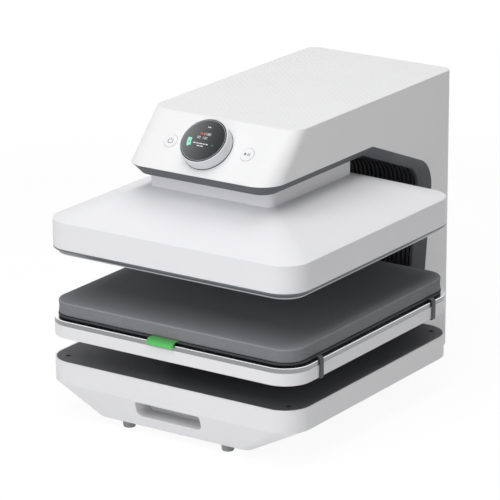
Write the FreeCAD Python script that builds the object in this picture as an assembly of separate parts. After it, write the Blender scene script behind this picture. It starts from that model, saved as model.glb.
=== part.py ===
import FreeCAD, Part
import math
import os

# Automatic heat press with a flat lower table. All sizes are in millimetres.
# X runs to the machine's right, Y to its back and Z up. The origin is on the
# ground, under the middle of the machine's bounding box.

Vector = FreeCAD.Vector

# Heights of the stack, from the ground up
FOOT_H = 11.5
HULL_H = 38.9
SLAB_H = 31.0
GARMENT_GAP = 33.5
TRAY_BAND_H = 17.0
RIM_H = 7.1
PAD_BOARD_H = 4.6
PAD_H = 19.3
PRESS_OPENING = 66.7
HEAT_PROUD = 2.0
TRIM_BEVEL_H = 5.1
TRIM_STRIP_H = 2.0
COVER_BAND_H = 36.8
COVER_RISE = 38.0
NECK_SHOWN = 21.5
HEAD_BEVEL = 14.0
HEAD_H = 62.3

# Plan sizes of the stack
BASE_W = 400.0
BASE_D = 401.5
BASE_CORNER = 38.5
COVER_W = 398.5
COVER_D = 403.0
COVER_CORNER = 38.0
NECK_W = 196.0
NECK_D = 200.0
NECK_CORNER = 12.0
PAD_INSET = 6.6
PAD_CORNER = 30.0
PAD_EDGE = 3.0
PAD_FOOT_EDGE = 2.0
BOARD_INSET = 5.2
BOARD_TOP_T = 2.4
PLINTH_INSET = 7.5
RIM_ROUND = 0.4

# Walls, sheets and clearances
SHELL_T = 3.0
SHEET_T = 2.0
FRAME_T = 5.0
CROSS_T = 6.0
RUN_GAP = 0.05
SLIDE_GAP = 1.5
SOFT_GAP = 0.3
FIT_GAP = 0.5

# Lower hull of the base
HULL_BOTTOM_W = 246.4
HULL_RAKE = 12.6
HULL_CORNER = 13.4
HULL_BACK_CORNER = 3.0
GRIP_W = 103.0
GRIP_H = 21.0
GRIP_DEPTH = 34.0
GRIP_DROP = 2.5
GRIP_CORNER = 8.0
GRIP_TOP_CORNER = 3.0
BASE_PLATE_T = 4.0
BASE_PLATE_LIP = 1.8
BASE_LEDGE_W = 6.0
PLATE_SCREW_INSET = 23.5
PLATE_SCREW_R = 3.4
PLATE_SCREW_SHANK_R = 2.0
PLATE_SCREW_L = 14.0
PLATE_BOSS_R = 6.0

# Feet
FOOT_R_TOP = 9.5
FOOT_R_BOTTOM = 8.0
FOOT_ROUND = 1.5
FOOT_X = 79.5
FOOT_FRONT_INSET = 27.0
FOOT_REAR_INSET = 30.0
FOOT_SCREW_R = 2.2
FOOT_RECESS = 3.0

# Head, column and the throat between them
HEAD_W = 235.0
HEAD_REACH = 132.0
HEAD_CORNER = 34.0
HEAD_TOP_CORNER = 25.0
CONSOLE_ANGLE = 43.2
BACK_REACH = 328.5
BACK_CORNER = 16.0
FOOT_CORNER = 10.0
SLOPE_START = 117.0
SLOPE_END = 276.0
SLOPE_ANGLE = 21.2
COLUMN_LEAN = 7.0
SLOPE_ROUND = 15.0
THROAT_ROUND = 45.0
ARM_CORNER = 10.0
LINER_BOTTOM_GAP = 4.0
LINER_RAIL_W = 4.0
LINER_LAND = 0.4
LINER_LIP = 6.0
RIB_PITCH = 7.0
RIB_W = 3.5
RIB_H = 5.0
RIB_BACK_T = 3.0
RIB_SET_BACK = 2.0
RIB_MARGIN = 1.0

# Steel press frame
FRAME_THROAT_GAP = 3.5
FRAME_WALL_GAP = 5.0
FRAME_SIDE_GAP = 4.5
FRAME_NOSE = 93.0
ARM_REACH = 100.0
ARM_PLATE_H = 56.0
PEDESTAL_W = 150.0
PEDESTAL_D = 200.0
PEDESTAL_CORNER = 14.0
PEDESTAL_WALL = 8.0
HEAD_PLATE_REACH = 96.0
TIE_H = 225.0

# Lift drive
SCREW_R = 8.0
NUT_R = 16.0
NUT_FLANGE_R = 22.0
NUT_FLANGE_T = 5.0
NUT_H = 24.0
RAM_R = 17.0
RAM_BORE_R = 12.0
ROD_R = 8.0
ROD_CLEAR = 7.5
ROD_Y = 50.0
ROD_RISE = 52.0
BEARING_R = 14.0
BEARING_L = 42.0
GEAR_MODULE = 1.5
GEAR_TEETH = 40
PINION_TEETH = 20
GEAR_W = 8.0
GEAR_BACKLASH = 0.25
MOTOR_R = 18.5
MOTOR_L = 60.0
SHAFT_R = 3.0
DRIVE_PLATE_W = 76.0
DRIVE_PLATE_D = 112.0
DRIVE_PLATE_T = 4.0
DRIVE_STAND_H = 20.0
BLOCK_H = 9.0
BLOCK_SIDE = 44.0

# Heated platen
HEAT_PLATE_T = 14.0
HEAT_PLATE_CORNER = 30.0
HEATER_R = 4.0
HEATER_RUNS = 6
HEATER_SPAN_X = 300.0
HEATER_SPAN_Y = 250.0
INSULATION_T = 12.0
CARRIER_T = 6.0
CARRIER_SIDE = 300.0
SPACER_R = 6.0
SPACER_AT = 132.0
COVER_BOSS_R = 7.0
COVER_BOSS_AT = 120.0
TRIM_BEVEL = 6.2
TRIM_LAND = 0.8

# Table, clips and tab
CLIP_W = 8.0
CLIP_T = 1.5
CLIP_STAND = 0.7
CLIP_FRONT = 138.0
CLIP_REAR = 141.0
CLIP_HOOK = 6.0
CLIP_BEND = 5.5
TAB_W = 41.4
TAB_X = -6.0
TAB_T = 1.0
TAB_REACH = 4.8
TAB_CURL = 4.5
TAB_DROP = 3.0

# Console
KNOB_R = 34.5
KNOB_H = 17.0
KNOB_WALL = 1.6
KNOB_FLOOR_T = 3.0
COLLAR_LIP = 0.3
COLLAR_H = 1.0
DISPLAY_STEM_R = 20.0
GLASS_T = 1.8
GLASS_PROUD = 0.2
BUTTON_X = 60.6
BUTTON_R = 9.8
BUTTON_GAP = 0.3
BUTTON_PROUD = 0.5
BUTTON_T = 2.6
BUTTON_TRAVEL = 0.8
BOARD_DEPTH = 13.0
BOARD_T = 1.6
BOARD_W = 150.0
BOARD_H = 44.0

# Back of the column
REAR_COVER_W = 196.0
REAR_COVER_MARGIN = 26.0
REAR_COVER_T = 1.5
REAR_LEDGE_W = 10.0
REAR_SCREW_R = 1.6
REAR_BOSS_L = 11.0
REAR_SCREW_L = 9.0
REAR_HEAD_R = 3.0
REAR_HEAD_H = 1.2
VENT_ROWS = 9
VENT_PITCH = 9.0
VENT_SLOT_H = 4.0
VENT_W = 70.0
FAN_SIDE = 60.0
FAN_T = 15.0
FAN_HUB_R = 12.0
FAN_AXLE_R = 2.0
FAN_BLADES = 7
SUPPLY_W = 110.0
SUPPLY_D = 32.0
SUPPLY_H = 150.0
CONTROL_SIDE_GAP = 37.5
CONTROL_H = 56.0
CONTROL_GAP = 8.0
CONTROL_STAND = 6.0
SINK_W = 28.0
SINK_H = 34.0
SINK_T = 13.4
CAP_R = 5.0
CAP_L = 14.0
CAP_PITCH = 12.0
INLET_W = 50.0
INLET_H = 28.0
INLET_FLANGE = 2.0
INLET_DEPTH = 22.0
INLET_CAVITY_W = 25.0
INLET_CAVITY_H = 17.0
INLET_CAVITY_L = 16.0
INLET_PIN_X = 7.0
INLET_PIN_Z = 2.5
INLET_X = 40.0
INLET_Z = 62.0
SWITCH_X = -20.0
SWITCH_W = 30.0
SWITCH_H = 22.0
SWITCH_DEPTH = 18.0
SWITCH_WELL = 10.0
SWITCH_WALL = 2.0
ROCKER_TILT = 7.0

# Heights worked out from the stack
Z_HULL = FOOT_H
Z_SLAB = Z_HULL + HULL_H
Z_BASE = Z_SLAB + SLAB_H
Z_TRAY = Z_BASE + GARMENT_GAP
Z_RIM = Z_TRAY + TRAY_BAND_H
Z_BOARD = Z_RIM + RIM_H
Z_PAD = Z_BOARD + PAD_BOARD_H
Z_PAD_TOP = Z_PAD + PAD_H
Z_HEAT = Z_PAD_TOP + PRESS_OPENING
Z_TRIM = Z_HEAT + HEAT_PROUD
Z_STRIP = Z_TRIM + TRIM_BEVEL_H
Z_COVER = Z_STRIP + TRIM_STRIP_H
Z_COVER_EDGE = Z_COVER + COVER_BAND_H
Z_NECK = Z_COVER_EDGE + COVER_RISE
Z_UNDER = Z_NECK + NECK_SHOWN
Z_EDGE = Z_UNDER + HEAD_BEVEL
Z_TOP = Z_EDGE + HEAD_H
PRESS_TRAVEL = PRESS_OPENING - SOFT_GAP

# The press stack's middle line, set so that the origin is centred front to back
FRONT_REACH = BASE_D / 2 + TAB_REACH
PRESS_Y = (FRONT_REACH - BACK_REACH - INLET_FLANGE) / 2
Y_BASE_FRONT = PRESS_Y - BASE_D / 2
Y_BASE_BACK = PRESS_Y + BASE_D / 2
Y_HEAD_FRONT = PRESS_Y - HEAD_REACH
Y_BACK = PRESS_Y + BACK_REACH

# Inner levels of the drive
Z_HEAD_PLATE = Z_EDGE + 1.5
Z_DRIVE = Z_HEAD_PLATE + CROSS_T + DRIVE_STAND_H
Z_GEAR = Z_DRIVE + DRIVE_PLATE_T + BLOCK_H + 0.5
Z_HEATER = Z_HEAT + HEAT_PLATE_T
Z_INSULATION = Z_HEATER + 2 * HEATER_R + SOFT_GAP
Z_CARRIER = Z_INSULATION + INSULATION_T + 2.0
Z_NECK_TOP = Z_HEAD_PLATE - 2.5
Z_NUT_TOP = Z_DRIVE - 4.0
GEAR_R = GEAR_MODULE * GEAR_TEETH / 2
PINION_R = GEAR_MODULE * PINION_TEETH / 2
MOTOR_Y = PRESS_Y + GEAR_R + PINION_R
ROD_X = NECK_W / 2 - SHELL_T - SLIDE_GAP - SHEET_T - BEARING_R - ROD_CLEAR


def cross2(a, b):
    """Return the flat cross product of two direction pairs."""
    return a[0] * b[1] - a[1] * b[0]


def meet(p, u, q, v):
    """Return the point where two flat lines cross."""
    t = cross2((q[0] - p[0], q[1] - p[1]), v) / cross2(u, v)
    return (p[0] + t * u[0], p[1] + t * u[1])


def unit(p, q):
    """Return the unit direction from one flat point to another."""
    length = math.hypot(q[0] - p[0], q[1] - p[1])
    return ((q[0] - p[0]) / length, (q[1] - p[1]) / length)


def inset(corners, t):
    """Shrink a counter-clockwise outline by t, keeping its rounded corners concentric."""
    count = len(corners)
    result = []
    for i, (x, y, r) in enumerate(corners):
        before = corners[i - 1]
        after = corners[(i + 1) % count]
        u = unit(before, (x, y))
        v = unit((x, y), after)
        p = (x - u[1] * t, y + u[0] * t)
        q = (x - v[1] * t, y + v[0] * t)
        corner = meet(p, u, q, v)
        turn = 1 if cross2(u, v) > 0 else -1
        result.append((corner[0], corner[1], max(r - turn * t, 0.0) if r > 0 else 0.0))
    return result


def outline(corners, place):
    """Make a closed wire of straight sides and round corners; place maps flat points to space."""
    count = len(corners)
    spans = []
    for i, (x, y, r) in enumerate(corners):
        u = unit(corners[i - 1], (x, y))
        v = unit((x, y), corners[(i + 1) % count])
        if r <= 0:
            spans.append(((x, y), None, (x, y)))
            continue
        turn = math.atan2(cross2(u, v), u[0] * v[0] + u[1] * v[1])
        cut = r * math.tan(abs(turn) / 2)
        start = (x - u[0] * cut, y - u[1] * cut)
        end = (x + v[0] * cut, y + v[1] * cut)
        sign = 1 if turn > 0 else -1
        centre = (start[0] - u[1] * r * sign, start[1] + u[0] * r * sign)
        out = unit(centre, (x, y))
        spans.append((start, (centre[0] + out[0] * r, centre[1] + out[1] * r), end))
    edges = []
    for i, (start, middle, end) in enumerate(spans):
        if middle is not None:
            edges.append(Part.Arc(place(*start), place(*middle), place(*end)).toShape())
        nxt = spans[(i + 1) % count][0]
        if math.hypot(nxt[0] - end[0], nxt[1] - end[1]) > 1e-6:
            edges.append(Part.makeLine(place(*end), place(*nxt)))
    return Part.Wire(edges)


def slab(corners, z0, z1):
    """Extrude a plan outline from z0 to z1."""
    wire = outline(corners, lambda x, y: Vector(x, y, z0))
    return Part.Face(wire).extrude(Vector(0, 0, z1 - z0))


def side_prism(corners, x0, x1):
    """Extrude a side view outline, given as (y, z), from x0 to x1."""
    wire = outline(corners, lambda y, z: Vector(x0, y, z))
    return Part.Face(wire).extrude(Vector(x1 - x0, 0, 0))


def plan(width, depth, corner, y=None):
    """Return a rounded rectangle's corners, centred on the press's middle line."""
    middle = PRESS_Y if y is None else y
    w = width / 2
    d = depth / 2
    flat = [(-w, -d), (w, -d), (w, d), (-w, d)]
    return [(px, middle + py, corner) for px, py in flat]


def span(x0, x1, y0, y1, corner=0.0):
    """Return a rectangle's corners from its limits."""
    return [(x0, y0, corner), (x1, y0, corner), (x1, y1, corner), (x0, y1, corner)]


def taper(low, z0, high, z1):
    """Join two plan outlines at different heights with straight rulings."""
    wires = [outline(low, lambda x, y: Vector(x, y, z0)), outline(high, lambda x, y: Vector(x, y, z1))]
    return Part.makeLoft(wires, True, True)


def post(x, y, z0, z1, r, r_top=None):
    """Make an upright round post, tapered when a second radius is given."""
    base = Vector(x, y, z0)
    if r_top is None:
        return Part.makeCylinder(r, z1 - z0, base)
    return Part.makeCone(r, r_top, z1 - z0, base)


def box(x0, x1, y0, y1, z0, z1):
    """Make a plain block from its limits."""
    return Part.makeBox(x1 - x0, y1 - y0, z1 - z0, Vector(x0, y0, z0))


def join(shapes):
    """Fuse several touching solids into one and clean its seams."""
    whole = shapes[0].multiFuse(shapes[1:])
    return whole.removeSplitter()


def group(shapes):
    """Keep several separate solids together."""
    return Part.makeCompound(shapes)


def four(x, y_list):
    """Return the mirrored left and right places for each y."""
    return [(side * x, y) for side in (-1, 1) for y in y_list]


# The throat's outline in the side view

def throat_line(d):
    """Return corner A, corner B and the column's direction, moved d towards the throat."""
    s = math.radians(SLOPE_ANGLE)
    lean = math.radians(COLUMN_LEAN)
    start = (PRESS_Y + SLOPE_START, Z_EDGE)
    run = SLOPE_END - SLOPE_START
    end = (PRESS_Y + SLOPE_END, Z_EDGE - run * math.tan(s))
    slope_dir = (math.cos(s), -math.sin(s))
    column_dir = (-math.sin(lean), -math.cos(lean))
    on_slope = (start[0] - d * math.sin(s), start[1] - d * math.cos(s))
    on_column = (end[0] - d * math.cos(lean), end[1] + d * math.sin(lean))
    a = meet((0.0, Z_EDGE - d), (1.0, 0.0), on_slope, slope_dir)
    b = meet(on_slope, slope_dir, on_column, column_dir)
    return a, b, column_dir


def column_y(d, z):
    """Return where the column's front line, moved d towards the throat, crosses height z."""
    a, b, column_dir = throat_line(d)
    return meet(b, column_dir, (0.0, z), (1.0, 0.0))[0]


def throat_band(d0, d1, y_start, z_end):
    """Return the side outline of a band that follows the throat between two offsets."""
    a0, b0, _ = throat_line(d0)
    a1, b1, _ = throat_line(d1)
    near = [
        (y_start, Z_EDGE - d1, 0.0),
        (a1[0], a1[1], SLOPE_ROUND - d1),
        (b1[0], b1[1], THROAT_ROUND - d1),
        (column_y(d1, z_end), z_end, 0.0),
    ]
    far = [
        (column_y(d0, z_end), z_end, 0.0),
        (b0[0], b0[1], THROAT_ROUND - d0),
        (a0[0], a0[1], SLOPE_ROUND - d0),
        (y_start, Z_EDGE - d0, 0.0),
    ]
    return near + far


# Console plane: local x is the machine's X, local y climbs the slope, local z points out

def console_placement():
    """Return the placement of the console's own axes at the middle of the slanted face."""
    angle = math.radians(CONSOLE_ANGLE)
    climb = Vector(0, math.cos(angle), math.sin(angle))
    length = HEAD_H / math.sin(angle)
    centre = Vector(0, Y_HEAD_FRONT, Z_EDGE) + climb * (length / 2)
    return FreeCAD.Placement(centre, FreeCAD.Rotation(Vector(1, 0, 0), CONSOLE_ANGLE))


def on_console(shape):
    """Move a shape from the console's own axes into the machine's."""
    moved = shape.copy()
    moved.Placement = console_placement().multiply(shape.Placement)
    return moved


def ring(r_out, r_in, z0, z1):
    """Make a flat ring about the local z axis."""
    outer = Part.makeCylinder(r_out, z1 - z0, Vector(0, 0, z0))
    return outer.cut(Part.makeCylinder(r_in, z1 - z0, Vector(0, 0, z0)))


# Base

def hull_plans(t):
    """Return the hull's upper and lower plan outlines, both inset by t."""
    upper = inset(plan(BASE_W, BASE_D, BASE_CORNER), t)
    w = HULL_BOTTOM_W / 2
    front = Y_BASE_FRONT + HULL_RAKE
    lower = [
        (-w, front, HULL_CORNER), (w, front, HULL_CORNER),
        (w, Y_BASE_BACK, HULL_BACK_CORNER), (-w, Y_BASE_BACK, HULL_BACK_CORNER),
    ]
    return upper, inset(lower, t)


def hull_solid(t, floor, top):
    """Make the base's outer form, or its hollow when t is the wall."""
    upper, lower = hull_plans(t)
    return join([taper(lower, floor, upper, Z_SLAB), slab(upper, Z_SLAB, top)])


def plate_screw_places():
    """Return the places of the four screws in the base's top plate."""
    x = BASE_W / 2 - PLATE_SCREW_INSET
    y = BASE_D / 2 - PLATE_SCREW_INSET
    return four(x, (PRESS_Y - y, PRESS_Y + y))


def front_foot_y():
    """Return the front feet's place."""
    return Y_BASE_FRONT + FOOT_FRONT_INSET


def rear_foot_y():
    """Return the rear feet's place."""
    return Y_BACK - FOOT_REAR_INSET


def grip_outline(t):
    """Return the front view of the grip recess, grown by t."""
    w = GRIP_W / 2
    top = Z_SLAB - GRIP_DROP
    flat = [
        (-w, top - GRIP_H, GRIP_CORNER), (w, top - GRIP_H, GRIP_CORNER),
        (w, top, GRIP_TOP_CORNER), (-w, top, GRIP_TOP_CORNER),
    ]
    return inset(flat, -t)


def grip_block(t, depth):
    """Make the grip recess as a block that reaches depth behind the hull's front."""
    y0 = Y_BASE_FRONT - 1
    wire = outline(grip_outline(t), lambda x, z: Vector(x, y0, z))
    return Part.Face(wire).extrude(Vector(0, depth + 1, 0))


def base_shell():
    """Make the base's white tub with its hull, plate ledge, bosses and grip recess."""
    outer = hull_solid(0.0, Z_HULL, Z_BASE)
    hollow = hull_solid(SHELL_T, Z_HULL + SHELL_T, Z_BASE + 1)
    plate_seat = Z_BASE - BASE_PLATE_T
    ledge_out = inset(plan(BASE_W, BASE_D, BASE_CORNER), SHELL_T / 2)
    ledge_in = inset(ledge_out, BASE_LEDGE_W)
    ledge = slab(ledge_out, plate_seat - SHELL_T, plate_seat).cut(
        slab(ledge_in, plate_seat - SHELL_T, plate_seat))
    parts = [outer.cut(hollow), ledge]
    for x, y in plate_screw_places():
        parts.append(post(x, y, Z_HULL + SHELL_T, plate_seat, PLATE_BOSS_R).common(outer))
    parts.append(grip_block(SHELL_T, GRIP_DEPTH + SHELL_T).common(outer))
    shell = join(parts)
    shell = shell.cut(grip_block(0.0, GRIP_DEPTH))
    seat = slab(inset(plan(BASE_W, BASE_D, BASE_CORNER), BASE_PLATE_LIP), plate_seat, Z_BASE + 1)
    shell = shell.cut(seat)
    arm_x = HEAD_W / 2 - SHELL_T
    opening = box(-arm_x, arm_x, Y_BASE_BACK - SHELL_T - 1, Y_BASE_BACK + 1,
                  Z_HULL + SHELL_T, plate_seat - SHELL_T)
    shell = shell.cut(opening)
    for x, y in plate_screw_places():
        shell = shell.cut(post(x, y, plate_seat - PLATE_SCREW_L, plate_seat, PLATE_SCREW_SHANK_R))
    for x, y in four(FOOT_X, (front_foot_y(),)):
        shell = shell.cut(post(x, y, Z_HULL, Z_HULL + SHELL_T, FOOT_SCREW_R))
    return shell


def base_top_plate():
    """Make the dark plate set into the base's top, with the pedestal's window."""
    z0 = Z_BASE - BASE_PLATE_T
    plate = slab(inset(plan(BASE_W, BASE_D, BASE_CORNER), BASE_PLATE_LIP + SOFT_GAP), z0, Z_BASE)
    window = slab(plan(PEDESTAL_W + 2 * FIT_GAP, PEDESTAL_D + 2 * FIT_GAP, PEDESTAL_CORNER), z0, Z_BASE)
    plate = plate.cut(window)
    for x, y in plate_screw_places():
        plate = plate.cut(post(x, y, z0, Z_BASE, PLATE_SCREW_SHANK_R + SOFT_GAP))
        plate = plate.cut(post(x, y, Z_BASE - 2.2, Z_BASE, PLATE_SCREW_R + SOFT_GAP))
    return plate


def base_plate_screws():
    """Make the four sunk screws that hold the top plate."""
    screws = []
    for x, y in plate_screw_places():
        shank = post(x, y, Z_BASE - BASE_PLATE_T - PLATE_SCREW_L + 2, Z_BASE - 2.2, PLATE_SCREW_SHANK_R)
        head = post(x, y, Z_BASE - 2.2, Z_BASE - 0.7, PLATE_SCREW_R)
        socket = post(x, y, Z_BASE - 1.6, Z_BASE - 0.7, 1.3)
        screws.append(join([shank, head]).cut(socket))
    return group(screws)


def foot_places():
    """Return the places of the four feet."""
    return four(FOOT_X, (front_foot_y(), rear_foot_y()))


def rubber_feet():
    """Make the four tapered rubber feet, hollow round their screws."""
    feet = []
    for x, y in foot_places():
        foot = post(x, y, 0, FOOT_H, FOOT_R_BOTTOM, FOOT_R_TOP)
        foot = foot.makeFillet(FOOT_ROUND, [e for e in foot.Edges if e.BoundBox.ZMax < 0.01])
        foot = foot.cut(post(x, y, 0, FOOT_RECESS, 2 * FOOT_SCREW_R))
        foot = foot.cut(post(x, y, 0, FOOT_H, FOOT_SCREW_R))
        feet.append(foot)
    return group(feet)


def foot_screws():
    """Make the screws that pass up through the feet."""
    screws = []
    for x, y in foot_places():
        shank = post(x, y, FOOT_RECESS, Z_HULL + SHELL_T + 4, FOOT_SCREW_R)
        head = post(x, y, 1.0, FOOT_RECESS, 2 * FOOT_SCREW_R)
        screws.append(join([shank, head]))
    return group(screws)


# Steel frame

def frame_outline():
    """Return the side plates' outline inside the base, column and head."""
    bottom = Z_HULL + SHELL_T
    rear = Y_BACK - SHELL_T - FRAME_WALL_GAP
    top = Z_TOP - SHELL_T - FRAME_WALL_GAP
    a, b, _ = throat_line(-FRAME_THROAT_GAP)
    arm_top = bottom + ARM_PLATE_H
    nose = PRESS_Y - FRAME_NOSE
    return [
        (PRESS_Y - ARM_REACH, bottom, 8.0),
        (rear, bottom, 12.0),
        (rear, top, 12.0),
        (nose + HEAD_H * 0.55, top, 8.0),
        (nose, a[1] + 4.0, 4.0),
        (nose + 4.0, a[1], 2.0),
        (a[0], a[1], SLOPE_ROUND + FRAME_THROAT_GAP),
        (b[0], b[1], THROAT_ROUND + FRAME_THROAT_GAP),
        (column_y(-FRAME_THROAT_GAP, arm_top), arm_top, ARM_CORNER),
        (PRESS_Y - ARM_REACH, arm_top, 8.0),
    ]


def frame_plate(side):
    """Make one C-shaped side plate of the press frame."""
    inner = frame_half_gap()
    x0 = inner if side > 0 else -inner - FRAME_T
    return side_prism(frame_outline(), x0, x0 + FRAME_T)


def frame_half_gap():
    """Return the distance from the middle to a side plate's inner face."""
    return HEAD_W / 2 - SHELL_T - FRAME_T - FRAME_SIDE_GAP


def base_cross_plate():
    """Make the plate between the side plates that carries the pedestal."""
    half = frame_half_gap()
    top = Z_HULL + SHELL_T + ARM_PLATE_H
    y1 = PRESS_Y + ARM_REACH + 10.0
    return box(-half, half, PRESS_Y - ARM_REACH, y1, top - CROSS_T, top)


def tray_pedestal():
    """Make the hollow cast pedestal that carries the table over the base."""
    z0 = Z_HULL + SHELL_T + ARM_PLATE_H
    outer = slab(plan(PEDESTAL_W, PEDESTAL_D, PEDESTAL_CORNER), z0, Z_TRAY)
    inner = slab(inset(plan(PEDESTAL_W, PEDESTAL_D, PEDESTAL_CORNER), PEDESTAL_WALL),
                 z0 + PEDESTAL_WALL, Z_TRAY - PEDESTAL_WALL)
    return outer.cut(inner)


def tie_back():
    """Return the rear face of the column's tie plate."""
    return Y_BACK - SHELL_T - FRAME_WALL_GAP - SUPPLY_D - 2.0


def column_tie_plate():
    """Make the upright plate that ties the side plates together in the column."""
    half = frame_half_gap()
    y1 = tie_back()
    return box(-half, half, y1 - FRAME_T, y1, Z_TRAY, Z_TRAY + TIE_H)


def rod_places():
    """Return the four guide rods' places."""
    return four(ROD_X, (PRESS_Y - ROD_Y, PRESS_Y + ROD_Y))


def head_frame_plate():
    """Make the head's cross plate with holes for the ram, rods and motor."""
    half = frame_half_gap()
    z1 = Z_HEAD_PLATE + CROSS_T
    plate = box(-half, half, PRESS_Y - HEAD_PLATE_REACH, PRESS_Y + SLOPE_START, Z_HEAD_PLATE, z1)
    cuts = [post(0, PRESS_Y, Z_HEAD_PLATE, z1, NUT_FLANGE_R + SLIDE_GAP)]
    cuts.append(post(0, MOTOR_Y, Z_HEAD_PLATE, z1, MOTOR_R + FIT_GAP))
    for x, y in rod_places():
        cuts.append(post(x, y, Z_HEAD_PLATE, z1, ROD_R + FIT_GAP))
    return plate.cut(group(cuts))


def linear_bearings():
    """Make the four bearings that hang under the cross plate and guide the rods."""
    shapes = []
    for x, y in rod_places():
        body = post(x, y, Z_HEAD_PLATE - BEARING_L, Z_HEAD_PLATE, BEARING_R)
        shapes.append(body.cut(post(x, y, Z_HEAD_PLATE - BEARING_L, Z_HEAD_PLATE, ROD_R + RUN_GAP)))
    return group(shapes)


def inner_sleeve():
    """Make the fixed inner sleeve that the moving neck slides over."""
    out = inset(plan(NECK_W, NECK_D, NECK_CORNER), SHELL_T + SLIDE_GAP)
    z0 = Z_NECK_TOP - PRESS_TRAVEL - 5.0
    outer = slab(out, z0, Z_HEAD_PLATE)
    return outer.cut(slab(inset(out, SHEET_T), z0, Z_HEAD_PLATE))


# Drive

def drive_plate_y():
    """Return the drive plate's limits along Y."""
    y0 = PRESS_Y - BLOCK_SIDE / 2 - 4.0
    return y0, y0 + DRIVE_PLATE_D


def drive_plate():
    """Make the plate that carries the screw's bearing block and the motor."""
    y0, y1 = drive_plate_y()
    half = DRIVE_PLATE_W / 2
    z1 = Z_DRIVE + DRIVE_PLATE_T
    plate = slab(span(-half, half, y0, y1, 6.0), Z_DRIVE, z1)
    plate = plate.cut(post(0, PRESS_Y, Z_DRIVE, z1, SCREW_R + 1.0))
    return plate.cut(post(0, MOTOR_Y, Z_DRIVE, z1, 5.0))


def drive_stand_places():
    """Return the places of the drive plate's four pillars."""
    y0, y1 = drive_plate_y()
    return four(DRIVE_PLATE_W / 2 - 6.0, (y0 + 6.0, y1 - 6.0))


def drive_standoffs():
    """Make the pillars between the cross plate and the drive plate."""
    z0 = Z_HEAD_PLATE + CROSS_T
    return group([post(x, y, z0, Z_DRIVE, 5.0) for x, y in drive_stand_places()])


def screw_bearing():
    """Make the block that holds the lead screw's thrust bearing."""
    z0 = Z_DRIVE + DRIVE_PLATE_T
    half = BLOCK_SIDE / 2
    block = slab(span(-half, half, PRESS_Y - half, PRESS_Y + half, 5.0), z0, z0 + BLOCK_H)
    return block.cut(post(0, PRESS_Y, z0, z0 + BLOCK_H, SCREW_R + RUN_GAP))


def lead_screw():
    """Make the lead screw with its top nut."""
    z0 = Z_NUT_TOP - NUT_H - PRESS_TRAVEL - 4.0
    z1 = Z_GEAR + GEAR_W + 5.0
    shaft = post(0, PRESS_Y, z0, z1, SCREW_R)
    cap = post(0, PRESS_Y, Z_GEAR + GEAR_W, z1 - 1.0, SCREW_R + 4.0)
    return join([shaft, cap])


def spur_gear(teeth, bore, x, y, z0, turn):
    """Make a straight spur gear with arc-topped teeth at a rest angle given in tooth pitches."""
    pitch_r = GEAR_MODULE * teeth / 2
    tip = pitch_r + GEAR_MODULE
    root = pitch_r - 1.25 * GEAR_MODULE
    step = 2 * math.pi / teeth
    half_pitch = step / 4 - GEAR_BACKLASH / (2 * pitch_r)
    half_tip = half_pitch * 0.55
    half_root = half_pitch * 1.6
    points = []
    for i in range(teeth):
        mid = (i + turn) * step
        for radius, off in ((root, -half_root), (pitch_r, -half_pitch), (tip, -half_tip),
                            (tip, half_tip), (pitch_r, half_pitch), (root, half_root)):
            angle = mid + off
            points.append(Vector(x + radius * math.cos(angle), y + radius * math.sin(angle), z0))
    points.append(points[0])
    body = Part.Face(Part.makePolygon(points)).extrude(Vector(0, 0, GEAR_W))
    return body.cut(post(x, y, z0, z0 + GEAR_W, bore))


def screw_gear():
    """Make the large gear fixed on the lead screw; a tooth points at the motor."""
    return spur_gear(GEAR_TEETH, SCREW_R, 0, PRESS_Y, Z_GEAR, GEAR_TEETH / 4)


def motor_pinion():
    """Make the motor's pinion; a gap faces the large gear's tooth."""
    turn = -PINION_TEETH / 4 + 0.5
    return spur_gear(PINION_TEETH, SHAFT_R, 0, MOTOR_Y, Z_GEAR, turn)


def motor_shaft():
    """Make the motor's output shaft."""
    return post(0, MOTOR_Y, Z_DRIVE - 2.0, Z_GEAR + GEAR_W, SHAFT_R)


def gear_motor():
    """Make the motor with its gearbox and end cap, hung under the drive plate."""
    z0 = Z_DRIVE - MOTOR_L
    gearbox = post(0, MOTOR_Y, Z_DRIVE - 22.0, Z_DRIVE, MOTOR_R)
    can = post(0, MOTOR_Y, z0 + 4.0, Z_DRIVE - 22.0, MOTOR_R - 1.0)
    cap = post(0, MOTOR_Y, z0, z0 + 4.0, MOTOR_R - 4.0)
    body = join([gearbox, can, cap])
    return body.cut(post(0, MOTOR_Y, Z_DRIVE - 2.5, Z_DRIVE, SHAFT_R + RUN_GAP))


def ram_nut():
    """Make the flanged nut that rides on the lead screw."""
    z0 = Z_NUT_TOP - NUT_H
    body = post(0, PRESS_Y, z0 + NUT_FLANGE_T, Z_NUT_TOP, NUT_R)
    flange = post(0, PRESS_Y, z0, z0 + NUT_FLANGE_T, NUT_FLANGE_R)
    return join([body, flange]).cut(post(0, PRESS_Y, z0, Z_NUT_TOP, SCREW_R + RUN_GAP))


def ram_tube():
    """Make the tube that carries the nut's push down to the carrier plate."""
    z0 = Z_CARRIER + CARRIER_T
    z1 = Z_NUT_TOP - NUT_H
    tube = post(0, PRESS_Y, z0, z1, RAM_R)
    foot = post(0, PRESS_Y, z0, z0 + 5.0, RAM_R + 9.0)
    return join([tube, foot]).cut(post(0, PRESS_Y, z0, z1, RAM_BORE_R))


def guide_rods():
    """Make the four ground rods that keep the platen level."""
    z0 = Z_CARRIER + CARRIER_T
    return group([post(x, y, z0, Z_HEAD_PLATE + ROD_RISE, ROD_R) for x, y in rod_places()])


# Heated platen

def cover_plan(t):
    """Return the platen cover's outline, inset by t."""
    return inset(plan(COVER_W, COVER_D, COVER_CORNER), t)


def cover_boss_places():
    """Return the places of the cover's four fixing bosses."""
    return four(COVER_BOSS_AT, (PRESS_Y - COVER_BOSS_AT, PRESS_Y + COVER_BOSS_AT))


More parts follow.
